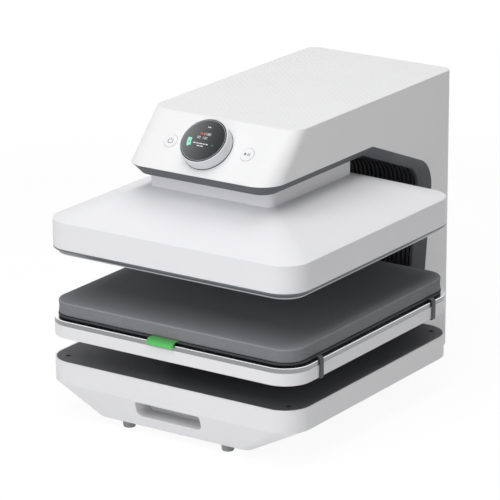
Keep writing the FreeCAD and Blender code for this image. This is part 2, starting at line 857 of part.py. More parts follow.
def platen_cover():
    """Make the white platen cover: an upright band under a shallow four-sided roof."""
    neck = plan(NECK_W, NECK_D, NECK_CORNER)
    outer = join([slab(cover_plan(0.0), Z_COVER, Z_COVER_EDGE),
                  taper(cover_plan(0.0), Z_COVER_EDGE, neck, Z_NECK)])
    drop = SHELL_T * 1.06
    hollow = join([slab(cover_plan(SHELL_T), Z_COVER - 1, Z_COVER_EDGE - drop / 3),
                   taper(cover_plan(SHELL_T), Z_COVER_EDGE - drop / 3,
                         inset(neck, SHELL_T), Z_NECK - drop)])
    shell = outer.cut(hollow)
    bosses = [post(x, y, Z_CARRIER + CARRIER_T, Z_NECK, COVER_BOSS_R).common(outer)
              for x, y in cover_boss_places()]
    shell = join([shell] + bosses)
    return shell.cut(slab(inset(neck, SHELL_T), Z_NECK - 3 * SHELL_T, Z_NECK + 1))


def neck_shroud():
    """Make the square white neck that slides up into the head."""
    out = plan(NECK_W, NECK_D, NECK_CORNER)
    return slab(out, Z_NECK, Z_NECK_TOP).cut(slab(inset(out, SHELL_T), Z_NECK, Z_NECK_TOP))


def platen_trim():
    """Make the dark bevelled ring round the heat plate."""
    outer = join([taper(cover_plan(TRIM_BEVEL), Z_TRIM, cover_plan(0.0), Z_STRIP),
                  slab(cover_plan(0.0), Z_STRIP, Z_COVER)])
    lip = slab(cover_plan(SHELL_T + SOFT_GAP), Z_COVER, Z_COVER + 5.0)
    bore = slab(cover_plan(TRIM_BEVEL + TRIM_LAND), Z_TRIM, Z_COVER + 5.0)
    return join([outer, lip]).cut(bore)


def heat_plate():
    """Make the cast aluminium plate that presses the cloth."""
    edge = TRIM_BEVEL + TRIM_LAND + FIT_GAP
    corner = HEAT_PLATE_CORNER
    corners = [(x, y, corner) for x, y, _ in cover_plan(edge)]
    return slab(corners, Z_HEAT, Z_HEATER)


def heating_element():
    """Make the tubular heater that winds to and fro on the heat plate."""
    z = Z_HEATER + HEATER_R
    pitch = HEATER_SPAN_X / (HEATER_RUNS - 1)
    y0 = PRESS_Y - HEATER_SPAN_Y / 2
    y1 = PRESS_Y + HEATER_SPAN_Y / 2
    parts = []
    for i in range(HEATER_RUNS):
        x = -HEATER_SPAN_X / 2 + i * pitch
        parts.append(Part.makeCylinder(HEATER_R, y1 - y0, Vector(x, y0, z), Vector(0, 1, 0)))
        if i == HEATER_RUNS - 1:
            continue
        end = y1 if i % 2 == 0 else y0
        side = 1 if i % 2 == 0 else -1
        bend = Part.makeTorus(pitch / 2, HEATER_R, Vector(x + pitch / 2, end, z))
        half = box(x - pitch, x + 2 * pitch, min(end, end + side * pitch), max(end, end + side * pitch),
                   z - pitch, z + pitch)
        parts.append(bend.common(half))
    return join(parts)


def spacer_places():
    """Return the places of the spacers between the heat plate and the carrier."""
    return four(SPACER_AT, (PRESS_Y - SPACER_AT, PRESS_Y + SPACER_AT))


def insulation_blanket():
    """Make the heat blanket over the heater, holed for the spacers."""
    side = COVER_W - 2 * (TRIM_BEVEL + 12.0)
    blanket = slab(plan(side, side, HEAT_PLATE_CORNER), Z_INSULATION, Z_INSULATION + INSULATION_T)
    cuts = [post(x, y, Z_INSULATION, Z_INSULATION + INSULATION_T, SPACER_R + SOFT_GAP)
            for x, y in spacer_places()]
    return blanket.cut(group(cuts))


def platen_spacers():
    """Make the spacers that hang the heat plate from the carrier."""
    return group([post(x, y, Z_HEATER, Z_CARRIER, SPACER_R) for x, y in spacer_places()])


def carrier_plate():
    """Make the steel plate that joins the rods, the ram and the platen."""
    return slab(plan(CARRIER_SIDE, CARRIER_SIDE, 20.0), Z_CARRIER, Z_CARRIER + CARRIER_T)


def temperature_probe():
    """Make the probe clamped on the heat plate between two heater runs."""
    y = PRESS_Y - 20.0
    body = box(-6, 6, y, y + 24.0, Z_HEATER, Z_HEATER + 5.0)
    stem = Part.makeCylinder(2.0, 18.0, Vector(0, y + 24.0, Z_HEATER + 2.5), Vector(0, 1, 0))
    return join([body, stem])


def thermal_cutout():
    """Make the disc-shaped cutout that guards the heat plate."""
    x = HEATER_SPAN_X / (HEATER_RUNS - 1) * 2
    y = PRESS_Y + 50.0
    disc = post(x, y, Z_HEATER, Z_HEATER + 4.0, 8.0)
    return join([disc, post(x, y, Z_HEATER + 4.0, Z_HEATER + 7.0, 5.0)])


# Table

def tray_housing():
    """Make the table's white band with its floor."""
    outline_out = plan(BASE_W, BASE_D, BASE_CORNER)
    outer = slab(outline_out, Z_TRAY, Z_RIM)
    return outer.cut(slab(inset(outline_out, SHELL_T), Z_TRAY + SHELL_T, Z_RIM))


def tray_plate():
    """Make the table's aluminium plate, whose edge shows as a rim."""
    outer = slab(plan(BASE_W, BASE_D, BASE_CORNER), Z_RIM, Z_BOARD)
    edge = [e for e in outer.Edges if abs(e.BoundBox.ZMin - Z_BOARD) < 0.01]
    return outer.makeFillet(RIM_ROUND, edge)


def pad_plan():
    """Return the pad's outline."""
    return [(x, y, PAD_CORNER) for x, y, _ in inset(plan(BASE_W, BASE_D, BASE_CORNER), PAD_INSET)]


def pad_board():
    """Make the dark board under the pad, stepped in below its upper sheet."""
    table = plan(BASE_W, BASE_D, BASE_CORNER)
    step = Z_PAD - BOARD_TOP_T
    plinth = slab(inset(table, PLINTH_INSET), Z_BOARD, step)
    return join([plinth, slab(inset(table, BOARD_INSET), step, Z_PAD)])


def press_pad():
    """Make the soft press pad with its rounded edges."""
    low = Z_PAD + SOFT_GAP
    pad = slab(pad_plan(), low, Z_PAD_TOP)
    top = [e for e in pad.Edges if abs(e.BoundBox.ZMin - Z_PAD_TOP) < 0.01]
    pad = pad.makeFillet(PAD_EDGE, top)
    bottom = [e for e in pad.Edges if abs(e.BoundBox.ZMax - low) < 0.01]
    return pad.makeFillet(PAD_FOOT_EDGE, bottom)


def pad_clip(side, y):
    """Make one sprung clip that arches from the board's edge over the rim to the tray's floor."""
    rim = BASE_W / 2
    x_out = rim + CLIP_STAND + CLIP_T
    x_in = rim - BOARD_INSET
    top = Z_PAD - SOFT_GAP
    low = Z_TRAY - CLIP_T
    points = [
        (x_in, top - CLIP_T, 0.0), (x_in, top, 0.0), (x_out, top, CLIP_BEND), (x_out, low, 1.0),
        (rim - CLIP_HOOK, low, 0.0), (rim - CLIP_HOOK, Z_TRAY, 0.0),
        (x_out - CLIP_T, Z_TRAY, 0.0), (x_out - CLIP_T, top - CLIP_T, CLIP_BEND - CLIP_T),
    ]
    flat = [(side * x, z, r) for x, z, r in points]
    wire = outline(flat, lambda x, z: Vector(x, y - CLIP_W / 2, z))
    return Part.Face(wire).extrude(Vector(0, CLIP_W, 0))


def pad_clips():
    """Make the four clips that hold the pad's board to the table."""
    places = (PRESS_Y - CLIP_FRONT, PRESS_Y + CLIP_REAR)
    return group([pad_clip(side, y) for side in (-1, 1) for y in places])


def pull_tab():
    """Make the tab that leaves under the pad, curls over the rim and folds back on itself."""
    y_in = Y_BASE_FRONT + BOARD_INSET - SOFT_GAP
    y_face = Y_BASE_FRONT - SOFT_GAP
    y_out = Y_BASE_FRONT - TAB_REACH
    top = Z_PAD - SOFT_GAP
    low = Z_BOARD - TAB_DROP
    ledge = Z_BOARD + SOFT_GAP
    outer = [
        (y_in, top, 0.0), (y_out + TAB_T, top - SOFT_GAP, TAB_CURL), (y_out, low, TAB_T),
        (y_face, low, 0.0), (y_face, ledge, 0.0), (y_in, ledge, 0.0),
    ]
    inner = [
        (y_in, top - TAB_T, 0.0), (y_out + 2 * TAB_T, top - TAB_T - SOFT_GAP, TAB_CURL - TAB_T),
        (y_out + TAB_T, low + TAB_T, 0.0), (y_face - TAB_T, low + TAB_T, 0.0),
        (y_face - TAB_T, ledge + TAB_T, 0.0), (y_in, ledge + TAB_T, 0.0),
    ]
    x0 = TAB_X - TAB_W / 2
    x1 = TAB_X + TAB_W / 2
    return side_prism(outer, x0, x1).cut(side_prism(inner, x0, x1))


# Housing of the head and column

def console_y(z, t=0.0):
    """Return where the slanted console face, moved t inwards, crosses height z."""
    angle = math.radians(CONSOLE_ANGLE)
    return Y_HEAD_FRONT + (z - Z_EDGE) / math.tan(angle) + t / math.sin(angle)


def head_plan(z, t, y_back):
    """Return the head's plan outline at height z, inset by t."""
    w = HEAD_W / 2 - t
    front = console_y(z, t)
    r = HEAD_CORNER + (HEAD_TOP_CORNER - HEAD_CORNER) * (z - Z_EDGE) / HEAD_H - t
    return [(-w, front, r), (w, front, r), (w, y_back, 0.0), (-w, y_back, 0.0)]


def housing_profile():
    """Return the side outline of the column, the head's rear part and the arm to the base."""
    a, b, _ = throat_line(0.0)
    arm_top = Z_BASE - FIT_GAP
    return [
        (PRESS_Y, Z_EDGE, 0.0),
        (a[0], a[1], SLOPE_ROUND),
        (b[0], b[1], THROAT_ROUND),
        (column_y(0.0, arm_top), arm_top, ARM_CORNER),
        (Y_BASE_BACK + FIT_GAP, arm_top, 0.0),
        (Y_BASE_BACK + FIT_GAP, Z_HULL, 0.0),
        (Y_BACK, Z_HULL, FOOT_CORNER),
        (Y_BACK, Z_TOP, 0.0),
        (PRESS_Y, Z_TOP, 0.0),
    ]


def housing_hollow_profile():
    """Return the hollow's side outline, open towards the throat and the base."""
    a, b, _ = throat_line(2.0)
    arm_top = Z_BASE - FIT_GAP - SHELL_T
    return [
        (PRESS_Y, Z_EDGE - 2.0, 0.0),
        (a[0], a[1], SLOPE_ROUND - 2.0),
        (b[0], b[1], THROAT_ROUND - 2.0),
        (column_y(2.0, Z_BASE + LINER_BOTTOM_GAP), Z_BASE + LINER_BOTTOM_GAP, 0.0),
        (column_y(-SHELL_T, Z_BASE + LINER_BOTTOM_GAP), Z_BASE + LINER_BOTTOM_GAP, 0.0),
        (column_y(-SHELL_T, arm_top), arm_top, 0.0),
        (Y_BASE_BACK - 1.0, arm_top, 0.0),
        (Y_BASE_BACK - 1.0, Z_HULL + SHELL_T, 0.0),
        (Y_BACK - SHELL_T, Z_HULL + SHELL_T, FOOT_CORNER - SHELL_T),
        (Y_BACK - SHELL_T, Z_TOP - SHELL_T, 0.0),
        (PRESS_Y, Z_TOP - SHELL_T, 0.0),
    ]


def housing_body(t, profile):
    """Make the housing's outer form or its hollow, from the side outline and the plan outline."""
    w = HEAD_W / 2 - t
    side = side_prism(profile, -w, w)
    back = Y_BACK - t
    r = BACK_CORNER - t
    rounded = slab([(-w, PRESS_Y - 1, 0.0), (w, PRESS_Y - 1, 0.0), (w, back, r), (-w, back, r)],
                   Z_HULL - 5, Z_TOP + 5)
    rear = side.common(rounded)
    z0 = Z_EDGE if t == 0 else Z_EDGE - 2.0
    z1 = Z_TOP - t
    head = taper(head_plan(z0, t, PRESS_Y), z0, head_plan(z1, t, PRESS_Y), z1)
    return join([head, rear])


def console_cuts():
    """Return the holes of the console face in the machine's axes."""
    depth = SHELL_T + 4.0
    cuts = [Part.makeCylinder(DISPLAY_STEM_R + FIT_GAP, depth, Vector(0, 0, -depth + 2))]
    for side in (-1, 1):
        cuts.append(Part.makeCylinder(BUTTON_R + BUTTON_GAP, depth, Vector(side * BUTTON_X, 0, -depth + 2)))
    return [on_console(shape) for shape in cuts]


def console_bosses():
    """Return the four bosses that hold the console board."""
    bosses = []
    for x in (-1, 1):
        for y in (-1, 1):
            place = Vector(x * (BOARD_W / 2 - 5), y * (BOARD_H / 2 - 4), -BOARD_DEPTH)
            bosses.append(on_console(Part.makeCylinder(3.0, BOARD_DEPTH - SHELL_T / 2, place)))
    return bosses


def rear_limits():
    """Return the rear cover's lower and upper edges."""
    return Z_HULL + REAR_COVER_MARGIN, Z_TOP - REAR_COVER_MARGIN


def outer_housing():
    """Make the C-shaped white housing: head, slanted console, column and arm."""
    shell = housing_body(0.0, housing_profile()).cut(housing_body(SHELL_T, housing_hollow_profile()))
    shell = join([shell] + console_bosses())
    for cut in console_cuts():
        shell = shell.cut(cut)
    z0, z1 = rear_limits()
    seat = REAR_COVER_W / 2 + SOFT_GAP
    shell = shell.cut(box(-seat, seat, Y_BACK - REAR_COVER_T, Y_BACK + 1, z0 - SOFT_GAP, z1 + SOFT_GAP))
    half = REAR_COVER_W / 2 - REAR_LEDGE_W
    low = z0 + REAR_LEDGE_W
    high = z1 - REAR_LEDGE_W
    shell = shell.cut(box(-half, half, Y_BACK - SHELL_T - 1, Y_BACK + 1, low, high))
    for x, z in cover_screw_places():
        place = Vector(x, Y_BACK - REAR_BOSS_L, z)
        shell = join([shell, Part.makeCylinder(3.5, REAR_BOSS_L - REAR_COVER_T, place, Vector(0, 1, 0))])
        shell = shell.cut(Part.makeCylinder(REAR_SCREW_R, REAR_BOSS_L, place, Vector(0, 1, 0)))
    for x, y in four(FOOT_X, (rear_foot_y(),)):
        shell = shell.cut(post(x, y, Z_HULL, Z_HULL + SHELL_T, FOOT_SCREW_R))
    return shell


def liner_plan(t):
    """Return the plan outline of the liner under the head, inset by t at its front and sides."""
    w = HEAD_W / 2 - t
    back = Y_BACK
    return [(-w, Y_HEAD_FRONT + t, HEAD_CORNER - t), (w, Y_HEAD_FRONT + t, HEAD_CORNER - t),
            (w, back, 0.0), (-w, back, 0.0)]


def throat_liner():
    """Make the dark bevelled frame under the head and round the throat."""
    z_end = Z_BASE + LINER_BOTTOM_GAP
    steps = bevel_steps()
    head_part = taper(liner_plan(HEAD_BEVEL - LINER_LAND), Z_UNDER, liner_plan(0.0), Z_EDGE)
    head_part = head_part.common(box(-HEAD_W, HEAD_W, Y_HEAD_FRONT - 1, PRESS_Y, Z_UNDER, Z_EDGE))
    rails = bevelled_band(z_end)
    frame = join([head_part, rails] + steps)
    w = HEAD_W / 2 - HEAD_BEVEL - LINER_RAIL_W
    front = Y_HEAD_FRONT + HEAD_BEVEL + LINER_RAIL_W
    over = throat_band(-1.0, HEAD_BEVEL - SHELL_T, front, z_end + LINER_RAIL_W)
    window = throat_band(-1.0, HEAD_BEVEL + 1.0, rib_start_y(), z_end + LINER_RAIL_W)
    frame = frame.cut(side_prism(over, -w, w)).cut(side_prism(window, -w, w))
    neck = inset(plan(NECK_W, NECK_D, NECK_CORNER), -SLIDE_GAP)
    return frame.cut(slab(neck, Z_UNDER - 1, Z_EDGE))


def bevel_steps():
    """Return the lip of the liner that sits inside the housing's walls."""
    z_end = Z_BASE + LINER_BOTTOM_GAP
    w = HEAD_W / 2 - SHELL_T - SOFT_GAP
    lip = side_prism(throat_band(-LINER_LIP, 0.0, PRESS_Y, z_end), -w, w)
    inner = w - SHEET_T
    return [lip.cut(side_prism(throat_band(-LINER_LIP - 1, 1.0, PRESS_Y - 1, z_end - 1), -inner, inner))]


def bevelled_band(z_end):
    """Make the band round the throat with both long edges bevelled by a full loft."""
    w0 = HEAD_W / 2
    w1 = HEAD_W / 2 - HEAD_BEVEL + LINER_LAND
    band = side_prism(throat_band(0.0, HEAD_BEVEL, PRESS_Y, z_end), -w1, w1)
    parts = [band]
    for side in (-1, 1):
        parts.append(bevel_rail(side, w0, w1, z_end))
    return join(parts)


def bevel_rail(side, w0, w1, z_end):
    """Make one triangular rail between the flat band and the housing's edge."""
    thin = throat_band(0.0, 0.05, PRESS_Y, z_end)
    full = throat_band(0.0, HEAD_BEVEL, PRESS_Y, z_end)
    wires = [outline(full, lambda y, z: Vector(side * w1, y, z)),
             outline(thin, lambda y, z: Vector(side * w0, y, z))]
    return Part.makeLoft(wires, True, True)


def rib_start_y():
    """Return where the ribbed panel begins, behind the neck."""
    return PRESS_Y + NECK_D / 2 + SLIDE_GAP + 5.0


def throat_ribs():
    """Make the ribbed panel that sweeps from under the head down the column."""
    z_end = Z_BASE + LINER_BOTTOM_GAP + LINER_RAIL_W + SOFT_GAP
    w = HEAD_W / 2 - HEAD_BEVEL - LINER_RAIL_W - SOFT_GAP
    tip = HEAD_BEVEL - RIB_SET_BACK
    root = tip - RIB_H
    start = rib_start_y() + SOFT_GAP
    parts = [side_prism(throat_band(root - RIB_BACK_T, root, start, z_end), -w, w)]
    count = int((2 * w - 2 * RIB_MARGIN - RIB_W) / RIB_PITCH) + 1
    first = -(count - 1) * RIB_PITCH / 2
    rib = throat_band(root, tip, start, z_end)
    for i in range(count):
        x = first + i * RIB_PITCH
        parts.append(side_prism(rib, x - RIB_W / 2, x + RIB_W / 2))
    return join(parts)


# Back of the column

def vent_z():
    """Return the height of the fan and its vents."""
    return rear_limits()[1] - FAN_SIDE / 2 - 20.0


def cover_screw_places():
    """Return the rear cover's screw places as (x, z)."""
    z0, z1 = rear_limits()
    edge = REAR_LEDGE_W / 2
    x = REAR_COVER_W / 2 - edge
    return [(side * x, z) for side in (-1, 1) for z in (z0 + edge, (z0 + z1) / 2, z1 - edge)]


def rear_cover():
    """Make the rear cover with its vent slots and the inlet's and switch's cut-outs."""
    z0, z1 = rear_limits()
    half = REAR_COVER_W / 2
    inside = Y_BACK - REAR_COVER_T
    cover = box(-half, half, inside, Y_BACK, z0, z1)
    for i in range(VENT_ROWS):
        z = vent_z() + (i - (VENT_ROWS - 1) / 2) * VENT_PITCH
        slot = span(-VENT_W / 2, VENT_W / 2, z - VENT_SLOT_H / 2, z + VENT_SLOT_H / 2, VENT_SLOT_H / 2.01)
        wire = outline(slot, lambda x, v: Vector(x, inside, v))
        cover = cover.cut(Part.Face(wire).extrude(Vector(0, REAR_COVER_T, 0)))
    for x, w, h in ((INLET_X, INLET_W - 6, INLET_H - 4), (SWITCH_X, SWITCH_W - 4, SWITCH_H - 4)):
        cover = cover.cut(box(x - w / 2, x + w / 2, inside, Y_BACK, INLET_Z - h / 2, INLET_Z + h / 2))
    for x, z in cover_screw_places():
        hole = Part.makeCylinder(REAR_SCREW_R + 0.2, REAR_COVER_T, Vector(x, inside, z), Vector(0, 1, 0))
        cover = cover.cut(hole)
    return cover


def rear_cover_screws():
    """Make the rear cover's screws."""
    screws = []
    for x, z in cover_screw_places():
        start = Vector(x, Y_BACK - REAR_SCREW_L, z)
        shank = Part.makeCylinder(REAR_SCREW_R, REAR_SCREW_L, start, Vector(0, 1, 0))
        head = Part.makeCylinder(REAR_HEAD_R, REAR_HEAD_H, Vector(x, Y_BACK, z), Vector(0, 1, 0))
        screws.append(join([shank, head]))
    return group(screws)


def fan_y():
    """Return the fan frame's inner face."""
    return Y_BACK - REAR_COVER_T - FAN_T


def fan_frame():
    """Make the fan's square frame with its hub plate."""
    y0 = fan_y()
    half = FAN_SIDE / 2
    z = vent_z()
    body = box(-half, half, y0, y0 + FAN_T, z - half, z + half)
    tunnel = Part.makeCylinder(half - 2, FAN_T - 2, Vector(0, y0 + 2, z), Vector(0, 1, 0))
    body = body.cut(tunnel)
    intake = Part.makeCylinder(half - 2, 2.0, Vector(0, y0, z), Vector(0, 1, 0)).cut(
        Part.makeCylinder(FAN_HUB_R, 2.0, Vector(0, y0, z), Vector(0, 1, 0)))
    spokes = [box(-1.5, 1.5, y0, y0 + 2, z - half, z + half), box(-half, half, y0, y0 + 2, z - 1.5, z + 1.5)]
    axle = Part.makeCylinder(FAN_AXLE_R, FAN_T - 3.0, Vector(0, y0, z), Vector(0, 1, 0))
    return join([body.cut(intake), axle] + spokes)


def fan_rotor():
    """Make the fan's rotor: a hub with raked blades."""
    y0 = fan_y() + 2.0 + SOFT_GAP
    z = vent_z()
    depth = FAN_T - 4.0
    parts = [Part.makeCylinder(FAN_HUB_R, depth, Vector(0, y0, z), Vector(0, 1, 0))]
    reach = FAN_SIDE / 2 - 3.5
    for i in range(FAN_BLADES):
        blade = Part.makeBox(1.6, depth - 2, reach - FAN_HUB_R + 2, Vector(-0.8, 0, FAN_HUB_R - 2))
        blade.rotate(Vector(0, depth / 2, 0), Vector(0, 0, 1), 30)
        blade.rotate(Vector(0, 0, 0), Vector(0, 1, 0), 360.0 * i / FAN_BLADES)
        blade.translate(Vector(0, y0 + 1, z))
        parts.append(blade)
    limit = Part.makeCylinder(reach + 1, depth, Vector(0, y0, z), Vector(0, 1, 0))
    bore = Part.makeCylinder(FAN_AXLE_R + RUN_GAP, FAN_T - 5.0, Vector(0, y0, z), Vector(0, 1, 0))
    return join(parts).common(limit).cut(bore)


def power_supply():
    """Make the power supply's case in the column."""
    y0 = tie_back()
    return slab(span(-SUPPLY_W / 2, SUPPLY_W / 2, y0, y0 + SUPPLY_D, 2.0), Z_TRAY, Z_TRAY + SUPPLY_H)


def control_board():
    """Make the upright control board with its heat sink and capacitors, above the supply."""
    y0 = tie_back()
    z0 = Z_TRAY + SUPPLY_H + CONTROL_GAP
    y1 = y0 + CONTROL_STAND
    half = HEAD_W / 2 - CONTROL_SIDE_GAP
    back = Vector(0, 1, 0)
    parts = [box(-half, half, y1, y1 + BOARD_T, z0, z0 + CONTROL_H)]
    for x in (-half + CONTROL_STAND, half - CONTROL_STAND):
        for z in (z0 + CONTROL_STAND, z0 + CONTROL_H - CONTROL_STAND):
            parts.append(Part.makeCylinder(CONTROL_STAND / 2, CONTROL_STAND, Vector(x, y0, z), back))
    sink = -half + 2 * CAP_R
    low = z0 + (CONTROL_H - SINK_H) / 2
    parts.append(box(sink, sink + SINK_W, y1 + BOARD_T, y1 + BOARD_T + SINK_T, low, low + SINK_H))
    for i in (1, 2, 3):
        place = Vector(half - i * CAP_PITCH, y1 + BOARD_T, z0 + CONTROL_H / 2)
        parts.append(Part.makeCylinder(CAP_R, CAP_L, place, back))
    return join(parts)


def power_inlet():
    """Make the mains inlet with its shrouded socket and three pins."""
    z = INLET_Z
    y_face = Y_BACK + INLET_FLANGE
    fw = INLET_W / 2
    flange = box(INLET_X - fw, INLET_X + fw, Y_BACK, y_face, z - INLET_H / 2, z + INLET_H / 2)
    w = INLET_W - 6 - 2 * SOFT_GAP
    h = INLET_H - 4 - 2 * SOFT_GAP
    body = box(INLET_X - w / 2, INLET_X + w / 2, Y_BACK - INLET_DEPTH, Y_BACK, z - h / 2, z + h / 2)
    cw = INLET_CAVITY_W / 2
    ch = INLET_CAVITY_H / 2
    depth = INLET_CAVITY_L
    cavity = box(INLET_X - cw, INLET_X + cw, y_face - depth, y_face, z - ch, z + ch)
    socket = join([flange, body]).cut(cavity)
    pins = [box(INLET_X + x - 1, INLET_X + x + 1, y_face - depth - 1, y_face - 5, z + dz - 2, z + dz + 2)
            for x, dz in ((-INLET_PIN_X, -INLET_PIN_Z), (0.0, INLET_PIN_Z), (INLET_PIN_X, -INLET_PIN_Z))]
    return join([socket] + pins)


def switch_body():
    """Make the mains switch's body with its rocker well."""
    z = INLET_Z
    y_face = Y_BACK + INLET_FLANGE
    flange = box(SWITCH_X - SWITCH_W / 2, SWITCH_X + SWITCH_W / 2, Y_BACK, y_face,
                 z - SWITCH_H / 2, z + SWITCH_H / 2)
    w = SWITCH_W - 4 - 2 * SOFT_GAP
    h = SWITCH_H - 4 - 2 * SOFT_GAP
    body = box(SWITCH_X - w / 2, SWITCH_X + w / 2, Y_BACK - SWITCH_DEPTH, Y_BACK, z - h / 2, z + h / 2)
    half = w / 2 - SWITCH_WALL
    rise = h / 2 - SWITCH_WALL
    well = box(SWITCH_X - half, SWITCH_X + half, Y_BACK - SWITCH_WELL, y_face, z - rise, z + rise)
    return join([flange, body]).cut(well)


def switch_rocker():
    """Make the switch's rocker, a rounded wedge on its pivot."""
    z = INLET_Z
    w = (SWITCH_W - 4 - 2 * SOFT_GAP) / 2 - SWITCH_WALL - BUTTON_GAP
    h = SWITCH_H - 4 - 2 * SOFT_GAP
    half = h / 2 - SWITCH_WALL - 2 * BUTTON_GAP
    pivot = Vector(SWITCH_X, Y_BACK - 3.0, z)
    body = box(SWITCH_X - w, SWITCH_X + w, pivot.y, Y_BACK + 0.6, z - half, z + half)
    hub = Part.makeCylinder(2.0, 2 * w, pivot - Vector(w, 0, 0), Vector(1, 0, 0))
    rocker = join([body, hub])
    rocker.rotate(pivot, Vector(1, 0, 0), -ROCKER_TILT)
    return rocker


# Console pieces

def knob_collar():
    """Make the thin dark collar under the knob."""
    return on_console(ring(KNOB_R + COLLAR_LIP, DISPLAY_STEM_R + FIT_GAP, 0.0, COLLAR_H))


def knob_ring():
    """Make the turning ring of the knob with its inner flange."""
    low = COLLAR_H + SOFT_GAP
    outer = Part.makeCylinder(KNOB_R, KNOB_H - low, Vector(0, 0, low))
    top = [e for e in outer.Edges if abs(e.BoundBox.ZMin - KNOB_H) < 0.01]
    outer = outer.makeFillet(0.9, top)
    bore = Part.makeCylinder(KNOB_R - KNOB_WALL, KNOB_H, Vector(0, 0, low + KNOB_FLOOR_T))
    stem = Part.makeCylinder(DISPLAY_STEM_R + SOFT_GAP, 20.0, Vector(0, 0, 0))
    return on_console(outer.cut(bore).cut(stem))


def display_body():
    """Make the fixed display drum and its stem down to the console board."""
    low = COLLAR_H + SOFT_GAP + KNOB_FLOOR_T + SOFT_GAP
    top = KNOB_H - GLASS_T + GLASS_PROUD
    drum = Part.makeCylinder(KNOB_R - KNOB_WALL - SOFT_GAP, top - low, Vector(0, 0, low))
    stem = Part.makeCylinder(DISPLAY_STEM_R, low + BOARD_DEPTH, Vector(0, 0, -BOARD_DEPTH))
    return on_console(join([drum, stem]))


def display_glass():
    """Make the round display glass with its softened rim."""
    low = KNOB_H - GLASS_T + GLASS_PROUD
    disc = Part.makeCylinder(KNOB_R - KNOB_WALL - SOFT_GAP, GLASS_T, Vector(0, 0, low))
    top = [e for e in disc.Edges if abs(e.BoundBox.ZMin - low - GLASS_T) < 0.01]
    return on_console(disc.makeFillet(1.0, top))


def console_board():
    """Make the board behind the console face."""
    low = -BOARD_DEPTH - BOARD_T
    return on_console(Part.makeBox(BOARD_W, BOARD_H, BOARD_T, Vector(-BOARD_W / 2, -BOARD_H / 2, low)))


def tact_switches():
    """Make the two small switches under the buttons."""
    shapes = []
    for side in (-1, 1):
        body = Part.makeBox(6, 6, 3.0, Vector(side * BUTTON_X - 3, -3, -BOARD_DEPTH))
        nub = Part.makeCylinder(1.7, 0.7, Vector(side * BUTTON_X, 0, -BOARD_DEPTH + 3.0))
        shapes.append(on_console(join([body, nub])))
    return group(shapes)


def console_button(side):
    """Make one round button with its dished cap and stem."""
    x = side * BUTTON_X
    cap = Part.makeCylinder(BUTTON_R, BUTTON_T, Vector(x, 0, BUTTON_PROUD - BUTTON_T))
    edge = [e for e in cap.Edges if abs(e.BoundBox.ZMin - BUTTON_PROUD) < 0.01]
    cap = cap.makeFillet(0.4, edge)
    stem_low = -BOARD_DEPTH + 3.7 + BUTTON_TRAVEL + 0.15
    stem = Part.makeCylinder(2.2, BUTTON_PROUD - BUTTON_T - stem_low, Vector(x, 0, stem_low))
    return on_console(join([cap, stem]))


def power_button():
    """Make the power button, on the left."""
    return console_button(-1)


def start_button():
    """Make the start and pause button, on the right."""
    return console_button(1)


NODES = {
    "base_shell": base_shell,
    "base_top_plate": base_top_plate,
    "base_plate_screws": base_plate_screws,
    "rubber_feet": rubber_feet,
    "foot_screws": foot_screws,
    "frame_plate_left": lambda: frame_plate(-1),
    "frame_plate_right": lambda: frame_plate(1),
    "base_cross_plate": base_cross_plate,
    "tray_pedestal": tray_pedestal,
    "column_tie_plate": column_tie_plate,
    "head_frame_plate": head_frame_plate,
    "linear_bearings": linear_bearings,
    "inner_sleeve": inner_sleeve,
    "drive_plate": drive_plate,
    "drive_standoffs": drive_standoffs,
    "screw_bearing": screw_bearing,
    "gear_motor": gear_motor,
    "motor_shaft": motor_shaft,
    "motor_pinion": motor_pinion,
    "screw_gear": screw_gear,
    "lead_screw": lead_screw,
    "ram_nut": ram_nut,
    "ram_tube": ram_tube,
    "guide_rods": guide_rods,
    "carrier_plate": carrier_plate,
    "platen_spacers": platen_spacers,
    "insulation_blanket": insulation_blanket,
    "heating_element": heating_element,
    "temperature_probe": temperature_probe,
    "thermal_cutout": thermal_cutout,
    "heat_plate": heat_plate,
    "platen_trim": platen_trim,
    "platen_cover": platen_cover,
    "neck_shroud": neck_shroud,
    "tray_housing": tray_housing,
    "tray_plate": tray_plate,
    "pad_board": pad_board,
    "press_pad": press_pad,
    "pad_clips": pad_clips,
    "pull_tab": pull_tab,
    "outer_housing": outer_housing,
    "throat_liner": throat_liner,
    "throat_ribs": throat_ribs,
    "rear_cover": rear_cover,
    "rear_cover_screws": rear_cover_screws,
    "fan_frame": fan_frame,
    "fan_rotor": fan_rotor,
    "power_supply": power_supply,
    "control_board": control_board,
    "power_inlet": power_inlet,
    "switch_body": switch_body,
    "switch_rocker": switch_rocker,
    "knob_collar": knob_collar,
    "knob_ring": knob_ring,
    "display_body": display_body,
    "display_glass": display_glass,
    "console_board": console_board,
    "tact_switches": tact_switches,
    "power_button": power_button,
    "start_button": start_button,
}


def main():
    """Build every piece and write one file for each."""
    os.makedirs("parts", exist_ok=True)
    for name, build in NODES.items():
        shape = build()
        if not shape.isValid():
            print("not valid:", name)
        count = len(shape.Solids)
        limits = shape.BoundBox
        print(f"{name:20s} solids {count:2d}  x {limits.XMin:7.1f} {limits.XMax:7.1f}  "
              f"y {limits.YMin:7.1f} {limits.YMax:7.1f}  z {limits.ZMin:6.1f} {limits.ZMax:6.1f}")
        shape.exportStep(os.path.join("parts", name + ".step"))


main()
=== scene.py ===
import logging
import math
from dataclasses import dataclass
from enum import Enum
from typing import ClassVar, Mapping, Sequence, Union

import bmesh
import bpy
from mathutils import Matrix, Vector, noise


